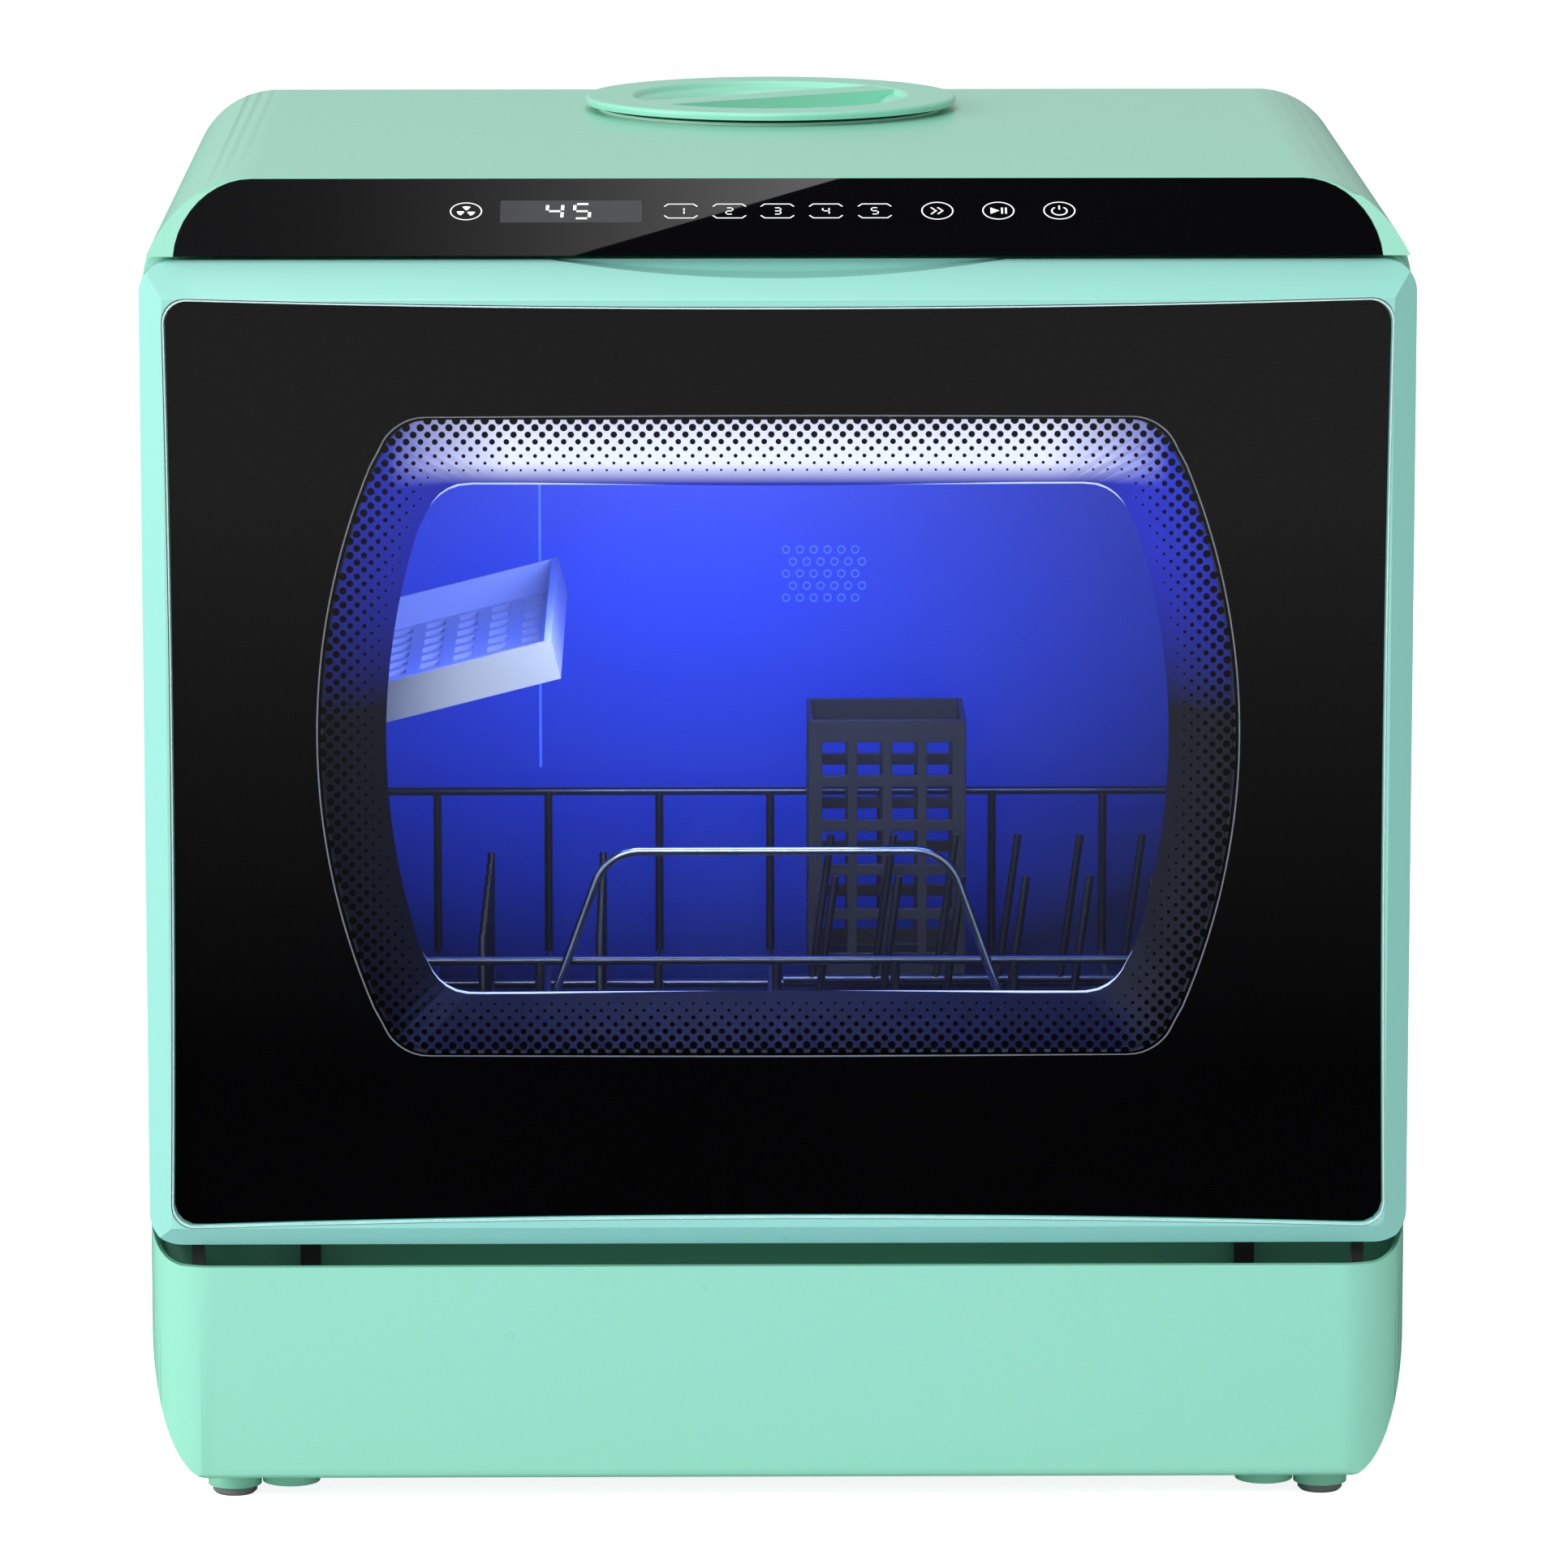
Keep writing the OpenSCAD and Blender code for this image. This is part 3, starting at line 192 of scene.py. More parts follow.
def ink(name, dark, light, **settings):
    """Screen-printed ink: dead matt, so it mirrors nothing; the screen's mottle is left very faint."""
    return moulded(name, dark, light, (0.35, 0.5), 1.5, 0.002, Specular_IOR_Level=0.0, **settings)


def solder_mask():
    """Green solder mask over glass cloth, whose bands are drawn far wider than its threads, to show."""
    mat = blank("green_solder_mask")
    place = add(mat, "ShaderNodeTexCoord").outputs["Object"]
    cloth = add(mat, "ShaderNodeTexWave", {"Scale": math.tau / (WAVE_TURN * CLOTH)}, {"Vector": place})
    colour = add(mat, "ShaderNodeMix",
                 {"data_type": "RGBA", MIX_A: linear("#134B2E"), MIX_B: linear("#1A5C39")},
                 {MIX_BY: cloth.outputs["Fac"]})
    bump = add(mat, "ShaderNodeBump", {"Distance": 0.03 * MM, "Strength": 0.3},
               {"Height": cloth.outputs["Fac"]})
    shader = add(mat, "ShaderNodeBsdfPrincipled", {"Roughness": 0.35},
                 {"Base Color": colour.outputs[MIXED], "Normal": bump.outputs[0]})
    add(mat, "ShaderNodeOutputMaterial", None, {"Surface": shader.outputs[0]})
    return mat


# Centre and reach of the blue light painted on the tub
TUB_PAINTED_LIGHT_AT = (-30 * MM, TUB_HI.y, 272 * MM)
TUB_PAINTED_LIGHT_REACH = (250 * MM, 250 * MM, 158 * MM)


def lit_tub():
    """Polypropylene with the blue lamps' light painted on: a painted glow, brightest a little above the
    middle of the tub's rear wall, fading to painted shade towards its edges, over a base colour painted dark
    blue as shade."""
    mat = blank("polypropylene_painted_blue_light")
    place = add(mat, "ShaderNodeTexCoord").outputs["Object"]
    ball = add(mat, "ShaderNodeMapping",
               {"vector_type": "TEXTURE", "Location": TUB_PAINTED_LIGHT_AT, "Scale": TUB_PAINTED_LIGHT_REACH},
               {"Vector": place})
    near = add(mat, "ShaderNodeTexGradient", {"gradient_type": "SPHERICAL"}, {"Vector": ball.outputs[0]})
    haze = add(mat, "ShaderNodeTexNoise", {"Scale": 1 / HAZE, "Detail": 1.0}, {"Vector": place})
    # Base colour painted dark blue: painted shade in the tub's blue light
    body = add(mat, "ShaderNodeMix",
               {"data_type": "RGBA", MIX_A: linear("#0C1430"), MIX_B: linear("#10183A")},
               {MIX_BY: haze.outputs["Fac"]})
    # Painted blue light, fading to painted shade away from its centre
    glow = add(mat, "ShaderNodeMix",
               {"data_type": "RGBA", MIX_A: linear("#00000A"), MIX_B: linear("#0A3CFF")},
               {MIX_BY: near.outputs["Fac"]})
    shader = add(mat, "ShaderNodeBsdfPrincipled", {"Emission Strength": 1.0, "Roughness": 0.32},
                 {"Base Color": body.outputs[MIXED], "Emission Color": glow.outputs[MIXED]})
    add(mat, "ShaderNodeOutputMaterial", None, {"Surface": shader.outputs[0]})
    return mat


# Painted light on the sheet inside the window: painted blue light rises between two heights, a painted white
# highlight starts higher and ends before the sides
BLUE_FROM, BLUE_TO = WIN_Z1 - 100 * MM, WIN_Z1 - 15 * MM
WHITE_FROM, WHITE_TO = WIN_Z1 - 25 * MM, WIN_Z1 - 17 * MM
WHITE_NONE_X, WHITE_FULL_X = WIN_HALF - 22 * MM, WIN_HALF - 62 * MM


def painted_light_window_finish():
    """Painted light and shade for the sheet inside the window: a painted white highlight along the top,
    painted blue light in the top corners, painted shade near black below.
    """
    mat = blank("painted_light_window_finish")
    place = add(mat, "ShaderNodeTexCoord").outputs["Object"]
    axes = add(mat, "ShaderNodeSeparateXYZ", None, {"Vector": place})
    aside = add(mat, "ShaderNodeMath", {"operation": "ABSOLUTE"}, {0: axes.outputs["X"]})
    high = add(mat, "ShaderNodeMapRange", {"From Min": BLUE_FROM, "From Max": BLUE_TO},
               {"Value": axes.outputs["Z"]})
    top = add(mat, "ShaderNodeMapRange", {"From Min": WHITE_FROM, "From Max": WHITE_TO},
              {"Value": axes.outputs["Z"]})
    middle = add(mat, "ShaderNodeMapRange", {"From Min": WHITE_NONE_X, "From Max": WHITE_FULL_X},
                 {"Value": aside.outputs[0]})
    white = add(mat, "ShaderNodeMath", {"operation": "MULTIPLY"}, {0: top.outputs[0], 1: middle.outputs[0]})
    # Painted blue light high up, painted shade near black below
    side = add(mat, "ShaderNodeMix",
               {"data_type": "RGBA", MIX_A: linear("#020308"), MIX_B: linear("#1420A0")},
               {MIX_BY: high.outputs[0]})
    # The painted white highlight along the top, laid over it
    skin = add(mat, "ShaderNodeMix", {"data_type": "RGBA", MIX_B: linear("#E8E8F8")},
               {MIX_BY: white.outputs[0], MIX_A: side.outputs[MIXED]})
    shader = add(mat, "ShaderNodeBsdfPrincipled",
                 {"Emission Strength": 0.75, "Roughness": 0.5, "Specular IOR Level": 0.1},
                 {"Base Color": skin.outputs[MIXED], "Emission Color": skin.outputs[MIXED]})
    add(mat, "ShaderNodeOutputMaterial", None, {"Surface": shader.outputs[0]})
    return mat


def lamp_lens(name, colour, strength):
    """A milky lens with a lamp behind it: slightly cloudy, so it isn't evenly bright."""
    mat = blank(name)
    place = add(mat, "ShaderNodeTexCoord").outputs["Object"]
    cloud = add(mat, "ShaderNodeTexNoise", {"Scale": 1 / MILK, "Detail": 1.0}, {"Vector": place})
    glow = add(mat, "ShaderNodeMix", {"data_type": "RGBA", MIX_A: linear(colour), MIX_B: linear("#FFFFFF")},
               {MIX_BY: cloud.outputs["Fac"]})
    shader = add(mat, "ShaderNodeBsdfPrincipled",
                 {"Base Color": linear(colour), "Roughness": 0.3, "Emission Strength": strength},
                 {"Emission Color": glow.outputs[MIXED]})
    add(mat, "ShaderNodeOutputMaterial", None, {"Surface": shader.outputs[0]})
    return mat


# ---------------------------------------------------------------- the finishes, named for the real materials
# Gloss ABS: an even tint, a broad highlight and a faint orange peel; the door's batch is a touch bluer
MINT_ABS = moulded("mint_gloss_abs", "#94DCC2", "#95DDC3", (0.27, 0.285), 25, 0.004,
                   Specular_IOR_Level=0.4)
DOOR_ABS = moulded("mint_door_abs", "#94D7CB", "#95D8CC", (0.27, 0.285), 25, 0.004,
                   Specular_IOR_Level=0.4)
# Moulded polypropylene: waxy, with a soft highlight and a tint that varies a little
FUNNEL_PP = moulded("pale_green_polypropylene", "#C9E8DD", "#D6F0E6", (0.32, 0.42), 1.2, 0.05)
SPRAY_PP = moulded("pale_polypropylene", "#C6CBD0", "#D6DADE", (0.32, 0.42), 1.2, 0.05)
GREY_PP = moulded("grey_polypropylene", "#83888C", "#90959A", (0.38, 0.5), 1.0, 0.05)
# Grained ABS of the door's inside: a fine grain that dulls the highlight
LINER_ABS = moulded("liner_abs", "#B7BDC2", "#C4C9CD", (0.35, 0.45), 0.8, 0.04)
# Smooth ABS of the shelf: shinier, with slow waves in the highlight
SHELF_ABS = moulded("shelf_abs", "#A9A9A8", "#B8B7B4", (0.25, 0.34), 6, 0.04)
# Glass-filled nylon: near black and dull
BLACK_NYLON = moulded("black_nylon", "#0C0C0E", "#151517", (0.4, 0.52), 0.7, 0.05)
# Charcoal ABS of the motors' housings: grained and dull
MOTOR_ABS = moulded("charcoal_abs", "#3B3F44", "#484C52", (0.4, 0.5), 0.9, 0.05)
# Moulded rubber: matt, with a dusty sheen at its edges
GREY_RUBBER = moulded("grey_rubber", "#77797A", "#858788", (0.6, 0.75), 0.9, 0.05, Sheen_Weight=0.15)
BLACK_RUBBER = moulded("black_rubber", "#1B1C1E", "#242628", (0.6, 0.75), 0.9, 0.05, Sheen_Weight=0.15)
# Foamed polypropylene: matt, with an open grain
FLOAT_FOAM = moulded("orange_float", "#D47F22", "#E4913A", (0.5, 0.6), 1.5, 0.08)
# Polished glass over black print: mirrors the studio sharply
TOUCH_GLASS = moulded("black_touch_glass", "#040405", "#06060A", (0.0, 0.012), 90, 0.001)
# Smoked acrylic: a shade paler and softer than the glass round it
DISPLAY_LENS = moulded("smoked_display_lens", "#26282B", "#313438", (0.12, 0.2), 20, 0.01)
# Brushed stainless steel, and the duller drawn steel of the heater: fine lines that stretch the highlight
STEEL = brushed_metal("brushed_steel", "#A5A8AB", "#CDCFD1", (0.22, 0.38), (1, 60, 60))
HEATER_STEEL = brushed_metal("heater_steel", "#6A6D70", "#8C8F92", (0.3, 0.45), (60, 60, 1))
# Steel wire dipped in black nylon, and bright nickel plate: one thin highlight along each wire
RACK_WIRE = coated_wire("black_dipped_wire", "#0A0A0C", "#141417", (0.25, 0.35), 0.0)
BRIGHT_WIRE = coated_wire("bright_plated_wire", "#83878D", "#A6AAB0", (0.14, 0.22), 1.0)
# Toughened glass and clear styrene, both with a low IOR, so that the tub shows well through the two
DOOR_GLASS = clear_sheet("toughened_glass", "#F4FAFF", 1.28, (0.0, 0.02))
CLEAR_BOWL = clear_sheet("clear_styrene", "#EAF2FF", 1.2, (0.0, 0.03))
# Ceramic ink behind the glass is flat black; the white marks are lit a little from behind
BLACK_INK = ink("black_ceramic_ink", "#020203", "#040405")
WHITE_INK = ink("white_ink", "#E9ECEC", "#F6F8F8", Emission_Color=linear("#FFFFFF"), Emission_Strength=0.35)
# A painted highlight along the window's rim, grey and matt like the ink
RIM_PAINTED_HIGHLIGHT = ink("rim_painted_highlight", "#6A6E72", "#7A7E82")
# A painted highlight along the glass's edge: a pale line that glows faintly
GLASS_EDGE_HIGHLIGHT = moulded("glass_edge_painted_highlight", "#B4C8C6", "#C4D6D4", (0.3, 0.4), 2, 0.002,
                      Emission_Color=linear("#D8F0EC"), Emission_Strength=0.12)
# A painted highlight along the edge of the clear bowl's back pane: a pale line that glows blue
PANE_PAINTED_HIGHLIGHT = moulded("pane_painted_highlight", "#B8C4EA", "#D6DEF6", (0.2, 0.3), 3, 0.02,
               Emission_Color=linear("#9FB2FF"), Emission_Strength=0.35)
# Painted light and shade for the sheet inside the window
PAINTED_LIGHT_WINDOW_FINISH = painted_light_window_finish()
# Raised ribs of the tub, with a painted blue glow: painted light, brighter than the wall behind them
RELIEF_PAINTED_LIGHT = moulded("relief_painted_blue_light", "#5A70C0", "#6C82D0", (0.3, 0.4), 3, 0.02,
                   Emission_Color=linear("#2A5CFF"), Emission_Strength=0.9)
CIRCUIT = solder_mask()
# The tub, with the blue lamps' light and shade painted on
PAINTED_LIGHT_TUB = lit_tub()
LAMP_STRIP = lamp_lens("blue_lamp_strip", "#3A5CFF", 3.0)

# Each finish, the round on its pieces' edges in millimetres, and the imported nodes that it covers
DRESS = [
    (MINT_ABS, 0.6, ["top_housing", "base_skirt", "base_bosses", "fill_cap", "rear_cover"]),
    (DOOR_ABS, 0.5, ["door_frame"]),
    (FUNNEL_PP, 0.2, ["fill_funnel"]),
    (SPRAY_PP, 0.5, ["upper_spray", "lower_spray_arm", "pump_impeller", "drain_outlet", "inlet_tank"]),
    (GREY_PP, 0.4, ["bottom_pan", "rear_grille", "spray_hub", "sump", "filter_cup", "filter_plate",
                    "pump_volute", "catch_guide", "latch_hook", "rack_feet", "shelf_brackets", "fan_rotor"]),
    (LINER_ABS, 0.4, ["door_liner", "mouth_frame", "air_duct"]),
    (SHELF_ABS, 0.4, ["cup_shelf"]),
    (BLACK_NYLON, 0.3, ["hinge_arms", "cutlery_basket", "fan_housing"]),
    (MOTOR_ABS, 0.5, ["wash_pump", "drain_pump"]),
    (GREY_RUBBER, 0.4, ["foot_pads"]),
    (BLACK_RUBBER, 0.2, ["door_seal", "fill_seal", "door_bumpers", "mains_inlet"]),
    (FLOAT_FOAM, 0.6, ["tank_float"]),
    (TOUCH_GLASS, 0.0, ["control_panel"]),
    (DISPLAY_LENS, 0.1, ["display_lens"]),
    (STEEL, 0.15, ["hinge_pins", "hinge_brackets", "cover_screws", "liner_screws", "catch_bolt"]),
    (HEATER_STEEL, 0.0, ["heater"]),
    (RACK_WIRE, 0.0, ["rack_floor", "rack_rims", "rack_tines"]),
    (BRIGHT_WIRE, 0.0, ["rack_handle"]),
    (DOOR_GLASS, 0.5, ["door_glass"]),
    (CLEAR_BOWL, 0.0, ["bowl_window"]),
    (CIRCUIT, 0.1, ["display_board", "control_board"]),
    (PAINTED_LIGHT_TUB, 0.0, ["wash_tub"]),
    (LAMP_STRIP, 0.3, ["light_strip"]),
]
SMOOTH_BELOW = math.radians(32)  # faces that meet at less are shaded as one curve
ROUND_ABOVE = math.radians(40)  # edges that turn by more are rounded
WELD = 0.002 * MM


def dress(node, finish, edge_mm):
    """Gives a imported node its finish, smooth shading over its curves and a small round on its edges."""
    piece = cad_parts[node]
    piece.data.materials.clear()
    piece.data.materials.append(finish)
    piece.data.shade_smooth()
    piece.data.set_sharp_from_angle(angle=SMOOTH_BELOW)
    if not edge_mm:
        return
    weld = piece.modifiers.new("weld", "WELD")
    weld.merge_threshold = WELD
    edge = piece.modifiers.new("edge", "BEVEL")
    edge.width = edge_mm * MM
    edge.segments = 2
    edge.limit_method = "ANGLE"
    edge.angle_limit = ROUND_ABOVE
    edge.miter_outer = "MITER_ARC"
    edge.harden_normals = False
    normals = piece.modifiers.new("normals", "WEIGHTED_NORMAL")
    normals.keep_sharp = True


for finish, edge_mm, nodes in DRESS:
    for node in nodes:
        dress(node, finish, edge_mm)


# ---------------------------------------------------------------- building meshes
MITRE_LIMIT = 0.4  # keeps the mitre of a sharp corner under 1.25 widths of its line


def object_of(name, mesh, finish):
    """Makes an object of a bmesh, with its finish."""
    data = bpy.data.meshes.new(name)
    mesh.to_mesh(data)
    mesh.free()
    data.materials.append(finish)
    made = bpy.data.objects.new(name, data)
    bpy.context.scene.collection.objects.link(made)
    return made


def finish_piece(name, mesh, body, finish):
    """Turns a bmesh's faces outwards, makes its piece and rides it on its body."""
    bmesh.ops.recalc_face_normals(mesh, faces=mesh.faces)
    piece = object_of(name, mesh, finish)
    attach(piece, body)


def plate(mesh, outline, put, low, high):
    """A closed plate: its flat outline is placed by put(x, y, height) at two heights."""
    bottom = [mesh.verts.new(put(x, y, low)) for x, y in outline]
    top = [mesh.verts.new(put(x, y, high)) for x, y in outline]
    mesh.faces.new(bottom)
    mesh.faces.new(top)
    for i in range(len(outline)):
        j = (i + 1) % len(outline)
        mesh.faces.new((bottom[i], bottom[j], top[j], top[i]))


def tube(mesh, put, lines):
    """A closed skin through outlines that have as many points, each given with its height."""
    rings = [[mesh.verts.new(put(x, y, height)) for x, y in outline] for outline, height in lines]
    for a, b in zip(rings, rings[1:] + rings[:1]):
        for i in range(len(a)):
            j = (i + 1) % len(a)
            mesh.faces.new((a[i], a[j], b[j], b[i]))


def band(mesh, outer, inner, put, low, high):
    """A closed flat ring between two outlines that have as many points."""
    tube(mesh, put, ((outer, low), (outer, high), (inner, high), (inner, low)))


def stroke(mesh, path, width, put, low, high):
    """A plate along an open path, with square ends and mitred corners."""
    left = []
    right = []
    for i, (x, y) in enumerate(path):
        before = Vector(path[i]) - Vector(path[i - 1]) if i else Vector(path[1]) - Vector(path[0])
        after = Vector(path[i + 1]) - Vector(path[i]) if i < len(path) - 1 else before
        before.normalize()
        after.normalize()
        along = (before + after).normalized()
        side = Vector((-along.y, along.x)) * width / 2 / max(MITRE_LIMIT, along.dot(after))
        left.append((x + side.x, y + side.y))
        right.append((x - side.x, y - side.y))
    plate(mesh, left + right[::-1], put, low, high)


def arc_points(x, y, radius, start, end, steps):
    """Points of an arc, angles in degrees."""
    turns = [math.radians(start + (end - start) * i / steps) for i in range(steps + 1)]
    return [(x + radius * math.cos(a), y + radius * math.sin(a)) for a in turns]


def circle_points(x, y, radius, steps):
    """Points of a whole circle, none twice."""
    return arc_points(x, y, radius, 0, 360, steps)[:-1]


def ring(mesh, x, y, radius, width, put, low, high, steps=40):
    """A thin ring whose line runs at radius."""
    outer = circle_points(x, y, radius + width / 2, steps)
    inner = circle_points(x, y, radius - width / 2, steps)
    band(mesh, outer, inner, put, low, high)


def on_slope(x, up, height):
    """A place on the control panel in millimetres: across, up the slope, and out of it."""
    return SLOPE_FOOT + Vector((x * MM, 0, 0)) + SLOPE_UP * up * MM + SLOPE_OUT * height * MM


def on_door(x, z, height):
    """A place on the door in metres: across, up, and its distance in front of the glass's face."""
    return Vector((x, GLASS_LO.y - height, z))


# ---------------------------------------------------------------- generic marks of the panel, in millimetres
MARK_UP = 27.0  # the row of marks runs this far up the slope
MARK_LOW = 0.01  # the ink starts this far out of the glass
ON_PANEL = (on_slope, MARK_LOW, MARK_LOW + PRINT / MM)
LINE = 0.42  # width of the rings' and brackets' lines
SYMBOL_LINE = 0.5  # width of the lines of the symbols inside
RING_R = 5.1
FAN_X, FAST_X, PLAY_X, POWER_X = -102.6, 52.6, 72.7, 92.8
PROGRAMME_X = (-31.9, -15.9, -0.1, 15.9, 32.0)
PROGRAMME_W = 10.9
PROGRAMME_H = 8.4
DISPLAY_FIGURES = (("4", -73.4), ("5", -64.4))  # each with its place across
DISPLAY_W = 5.0
DISPLAY_H = 8.6
DISPLAY_LINE = 1.05
DISPLAY_LEAN = 0.04

# Seven segments as ends on a 1 by 2 grid, and the segments of each digit
SEGMENTS = {"a": ((0, 2), (1, 2)), "b": ((1, 2), (1, 1)), "c": ((1, 1), (1, 0)), "d": ((0, 0), (1, 0)),
            "e": ((0, 1), (0, 0)), "f": ((0, 2), (0, 1)), "g": ((0, 1), (1, 1))}
DIGITS = {"1": "bc", "2": "abged", "3": "abgcd", "4": "fgbc", "5": "afgcd"}
SEGMENT_TRIM = 0.62  # how much of a line's width each end of a segment stops short


def digit(mesh, figure, x, width, height, line, lean=0.0):
    """One figure of straight strokes, centred on x in the row of marks."""
    for name in DIGITS[figure]:
        ends = []
        for u, v in SEGMENTS[name]:
            along = (v - 1) * height / 2
            ends.append(Vector((x + (u - 0.5) * width + lean * along, MARK_UP + along)))
        trim = (ends[1] - ends[0]).normalized() * line * SEGMENT_TRIM
        stroke(mesh, [tuple(ends[0] + trim), tuple(ends[1] - trim)], line, *ON_PANEL)


def programme_mark(mesh, number, x):
    """A small number between two brackets with bent ends."""
    half = PROGRAMME_W / 2
    bend, drop = 1.3, 1.5
    for side in (-1, 1):
        y = MARK_UP + side * PROGRAMME_H / 2
        end = y - side * drop
        bracket = [(x - half, end), (x - half + bend, y), (x + half - bend, y), (x + half, end)]
        stroke(mesh, bracket, LINE, *ON_PANEL)
    figure_w, figure_h, figure_line = 2.1, 3.8, 0.45
    digit(mesh, str(number), x, figure_w, figure_h, figure_line)


def fan_mark(mesh, x):
    """Three blades that widen outwards."""
    tip_r, tip_sweep = 3.0, 55
    root_r, root_sweep = 0.7, 40
    for start in (60, 180, 300):
        tip = arc_points(x, MARK_UP, tip_r, start, start + tip_sweep, 6)
        root = arc_points(x, MARK_UP, root_r, start + root_sweep, start, 2)
        plate(mesh, tip + root, *ON_PANEL)


def fast_mark(mesh, x):
    """Two chevrons."""
    back, tip, rise = -0.8, 0.9, 2
    for step in (-1.3, 0.9):
        at = x + step
        chevron = [(at + back, MARK_UP + rise), (at + tip, MARK_UP), (at + back, MARK_UP - rise)]
        stroke(mesh, chevron, SYMBOL_LINE, *ON_PANEL)


def play_mark(mesh, x):
    """A triangle that points right, and two bars."""
    back, tip, rise = -2.6, 0.3, 1.9
    triangle = [(x + back, MARK_UP - rise), (x + tip, MARK_UP), (x + back, MARK_UP + rise)]
    plate(mesh, triangle, *ON_PANEL)
    bar_rise, bar_w = 1.8, 0.6
    for step in (1.2, 2.5):
        bar = [(x + step, MARK_UP - bar_rise), (x + step, MARK_UP + bar_rise)]
        stroke(mesh, bar, bar_w, *ON_PANEL)


def power_mark(mesh, x):
    """An open circle with a bar in its gap."""
    sink, radius, open_from, open_to = 0.2, 2.5, 125, 415
    bar_foot, bar_top = 0.6, 3.0
    circle = arc_points(x, MARK_UP - sink, radius, open_from, open_to, 24)
    stroke(mesh, circle, SYMBOL_LINE, *ON_PANEL)
    stroke(mesh, [(x, MARK_UP + bar_foot), (x, MARK_UP + bar_top)], SYMBOL_LINE, *ON_PANEL)


def panel_marks():
    """White printed touch marks: five numbered programmes, and rings with a fan, chevrons, play and power."""
    mesh = bmesh.new()
    for x in (FAN_X, FAST_X, PLAY_X, POWER_X):
        ring(mesh, x, MARK_UP, RING_R, LINE, *ON_PANEL)
    for number, x in enumerate(PROGRAMME_X, 1):
        programme_mark(mesh, number, x)
    fan_mark(mesh, FAN_X)
    fast_mark(mesh, FAST_X)
    play_mark(mesh, PLAY_X)
    power_mark(mesh, POWER_X)
    finish_piece("panel_marks", mesh, "machine", WHITE_INK)


def display_digits():
    """Lit digits on the smoked lens, showing generic minutes."""
    mesh = bmesh.new()
    for figure, x in DISPLAY_FIGURES:
        digit(mesh, figure, x, DISPLAY_W, DISPLAY_H, DISPLAY_LINE, DISPLAY_LEAN)
    finish_piece("display_digits", mesh, "machine", WHITE_INK)


# ---------------------------------------------------------------- outlines of the window and the glass
SIDE_STEPS = 16
CORNER_STEPS = 8
CORNER_START = 20  # the bulging side runs into the corner's arc at this angle
CORNER_IN = 2 * MM  # and the arc's centre is drawn in this much, to meet it there
GLASS_CORNER_R = 7.5 * MM
GLASS_BOW_SIDE = 1.3 * MM
GLASS_BOW_END = 2.9 * MM
BOW_STEPS = 20


def window_outline(side, top, bottom):
    """The window's outline, drawn in by three amounts; it goes round anticlockwise from the lower right."""
    low, high = WIN_Z0 + bottom, WIN_Z1 - top
    middle, rise = (low + high) / 2, (high - low) / 2
    reach = 1 - WIN_CORNER_R / rise

    def half(u):
        return WIN_HALF - WIN_SIDE_R + math.sqrt(WIN_SIDE_R ** 2 - (u * rise) ** 2) - side

    shares = [reach * i / SIDE_STEPS for i in range(-SIDE_STEPS, SIDE_STEPS + 1)]
    corner_x = half(reach) - WIN_CORNER_R - CORNER_IN
    corner = arc_points(corner_x, high - WIN_CORNER_R, WIN_CORNER_R, CORNER_START, 90, CORNER_STEPS)
    lower_corner = [(x, 2 * middle - z) for x, z in corner[::-1]]
    right_half = lower_corner + [(half(u), middle + rise * u) for u in shares] + corner
    return right_half + [(-x, z) for x, z in right_half[::-1]]


def glass_outline(inset):
    """The glass's outline: round corners joined by edges that bow inwards."""
    x1, z0, z1 = GLASS_HI.x - inset, GLASS_LO.z + inset, GLASS_HI.z - inset
    xc = x1 - GLASS_CORNER_R
    zm, zh = (z0 + z1) / 2, (z1 - z0) / 2 - GLASS_CORNER_R
    shares = [2 * i / BOW_STEPS - 1 for i in range(1, BOW_STEPS)]
    right_half = arc_points(xc, z0 + GLASS_CORNER_R, GLASS_CORNER_R, -90, 0, CORNER_STEPS)
    right_half += [(x1 - GLASS_BOW_SIDE * (1 - u * u), zm + u * zh) for u in shares]
    right_half += arc_points(xc, z1 - GLASS_CORNER_R, GLASS_CORNER_R, 0, 90, CORNER_STEPS)
    top = [(-u * xc, z1 - GLASS_BOW_END * (1 - u * u)) for u in shares]
    bottom = [(u * xc, z0 + GLASS_BOW_END * (1 - u * u)) for u in shares]
    return right_half + top + [(-x, z) for x, z in right_half[::-1]] + bottom


PARALLEL = 1e-12  # an edge that turns from a ray by less is never crossed
ROUNDING = 1e-9  # and a ray through a corner may miss it by this share of the edge


def sampled(outline, count):
    """count points of an outline at even angles round the window's middle."""
    corners = [Vector((x, z - WIN_MID)) for x, z in outline]
    points = []
    for k in range(count):
        ray = Vector((math.cos(math.tau * k / count), math.sin(math.tau * k / count)))
        for a, b in zip(corners, corners[1:] + corners[:1]):
            edge = b - a
            turn = ray.x * edge.y - ray.y * edge.x
            if abs(turn) < PARALLEL:
                continue
            far = (a.x * edge.y - a.y * edge.x) / turn
            part = (a.x * ray.y - a.y * ray.x) / turn
            if far > 0 and -ROUNDING <= part <= 1 + ROUNDING:
                points.append((far * ray.x, far * ray.y + WIN_MID))
                break
    return points


def grown(points, amount):
    """An outline pushed outwards from the window's middle by about amount."""
    moved = []
    for x, z in points:
        out = Vector((x, z - WIN_MID))
        place = out * (1 + amount / out.length)
        moved.append((place.x, place.y + WIN_MID))
    return moved


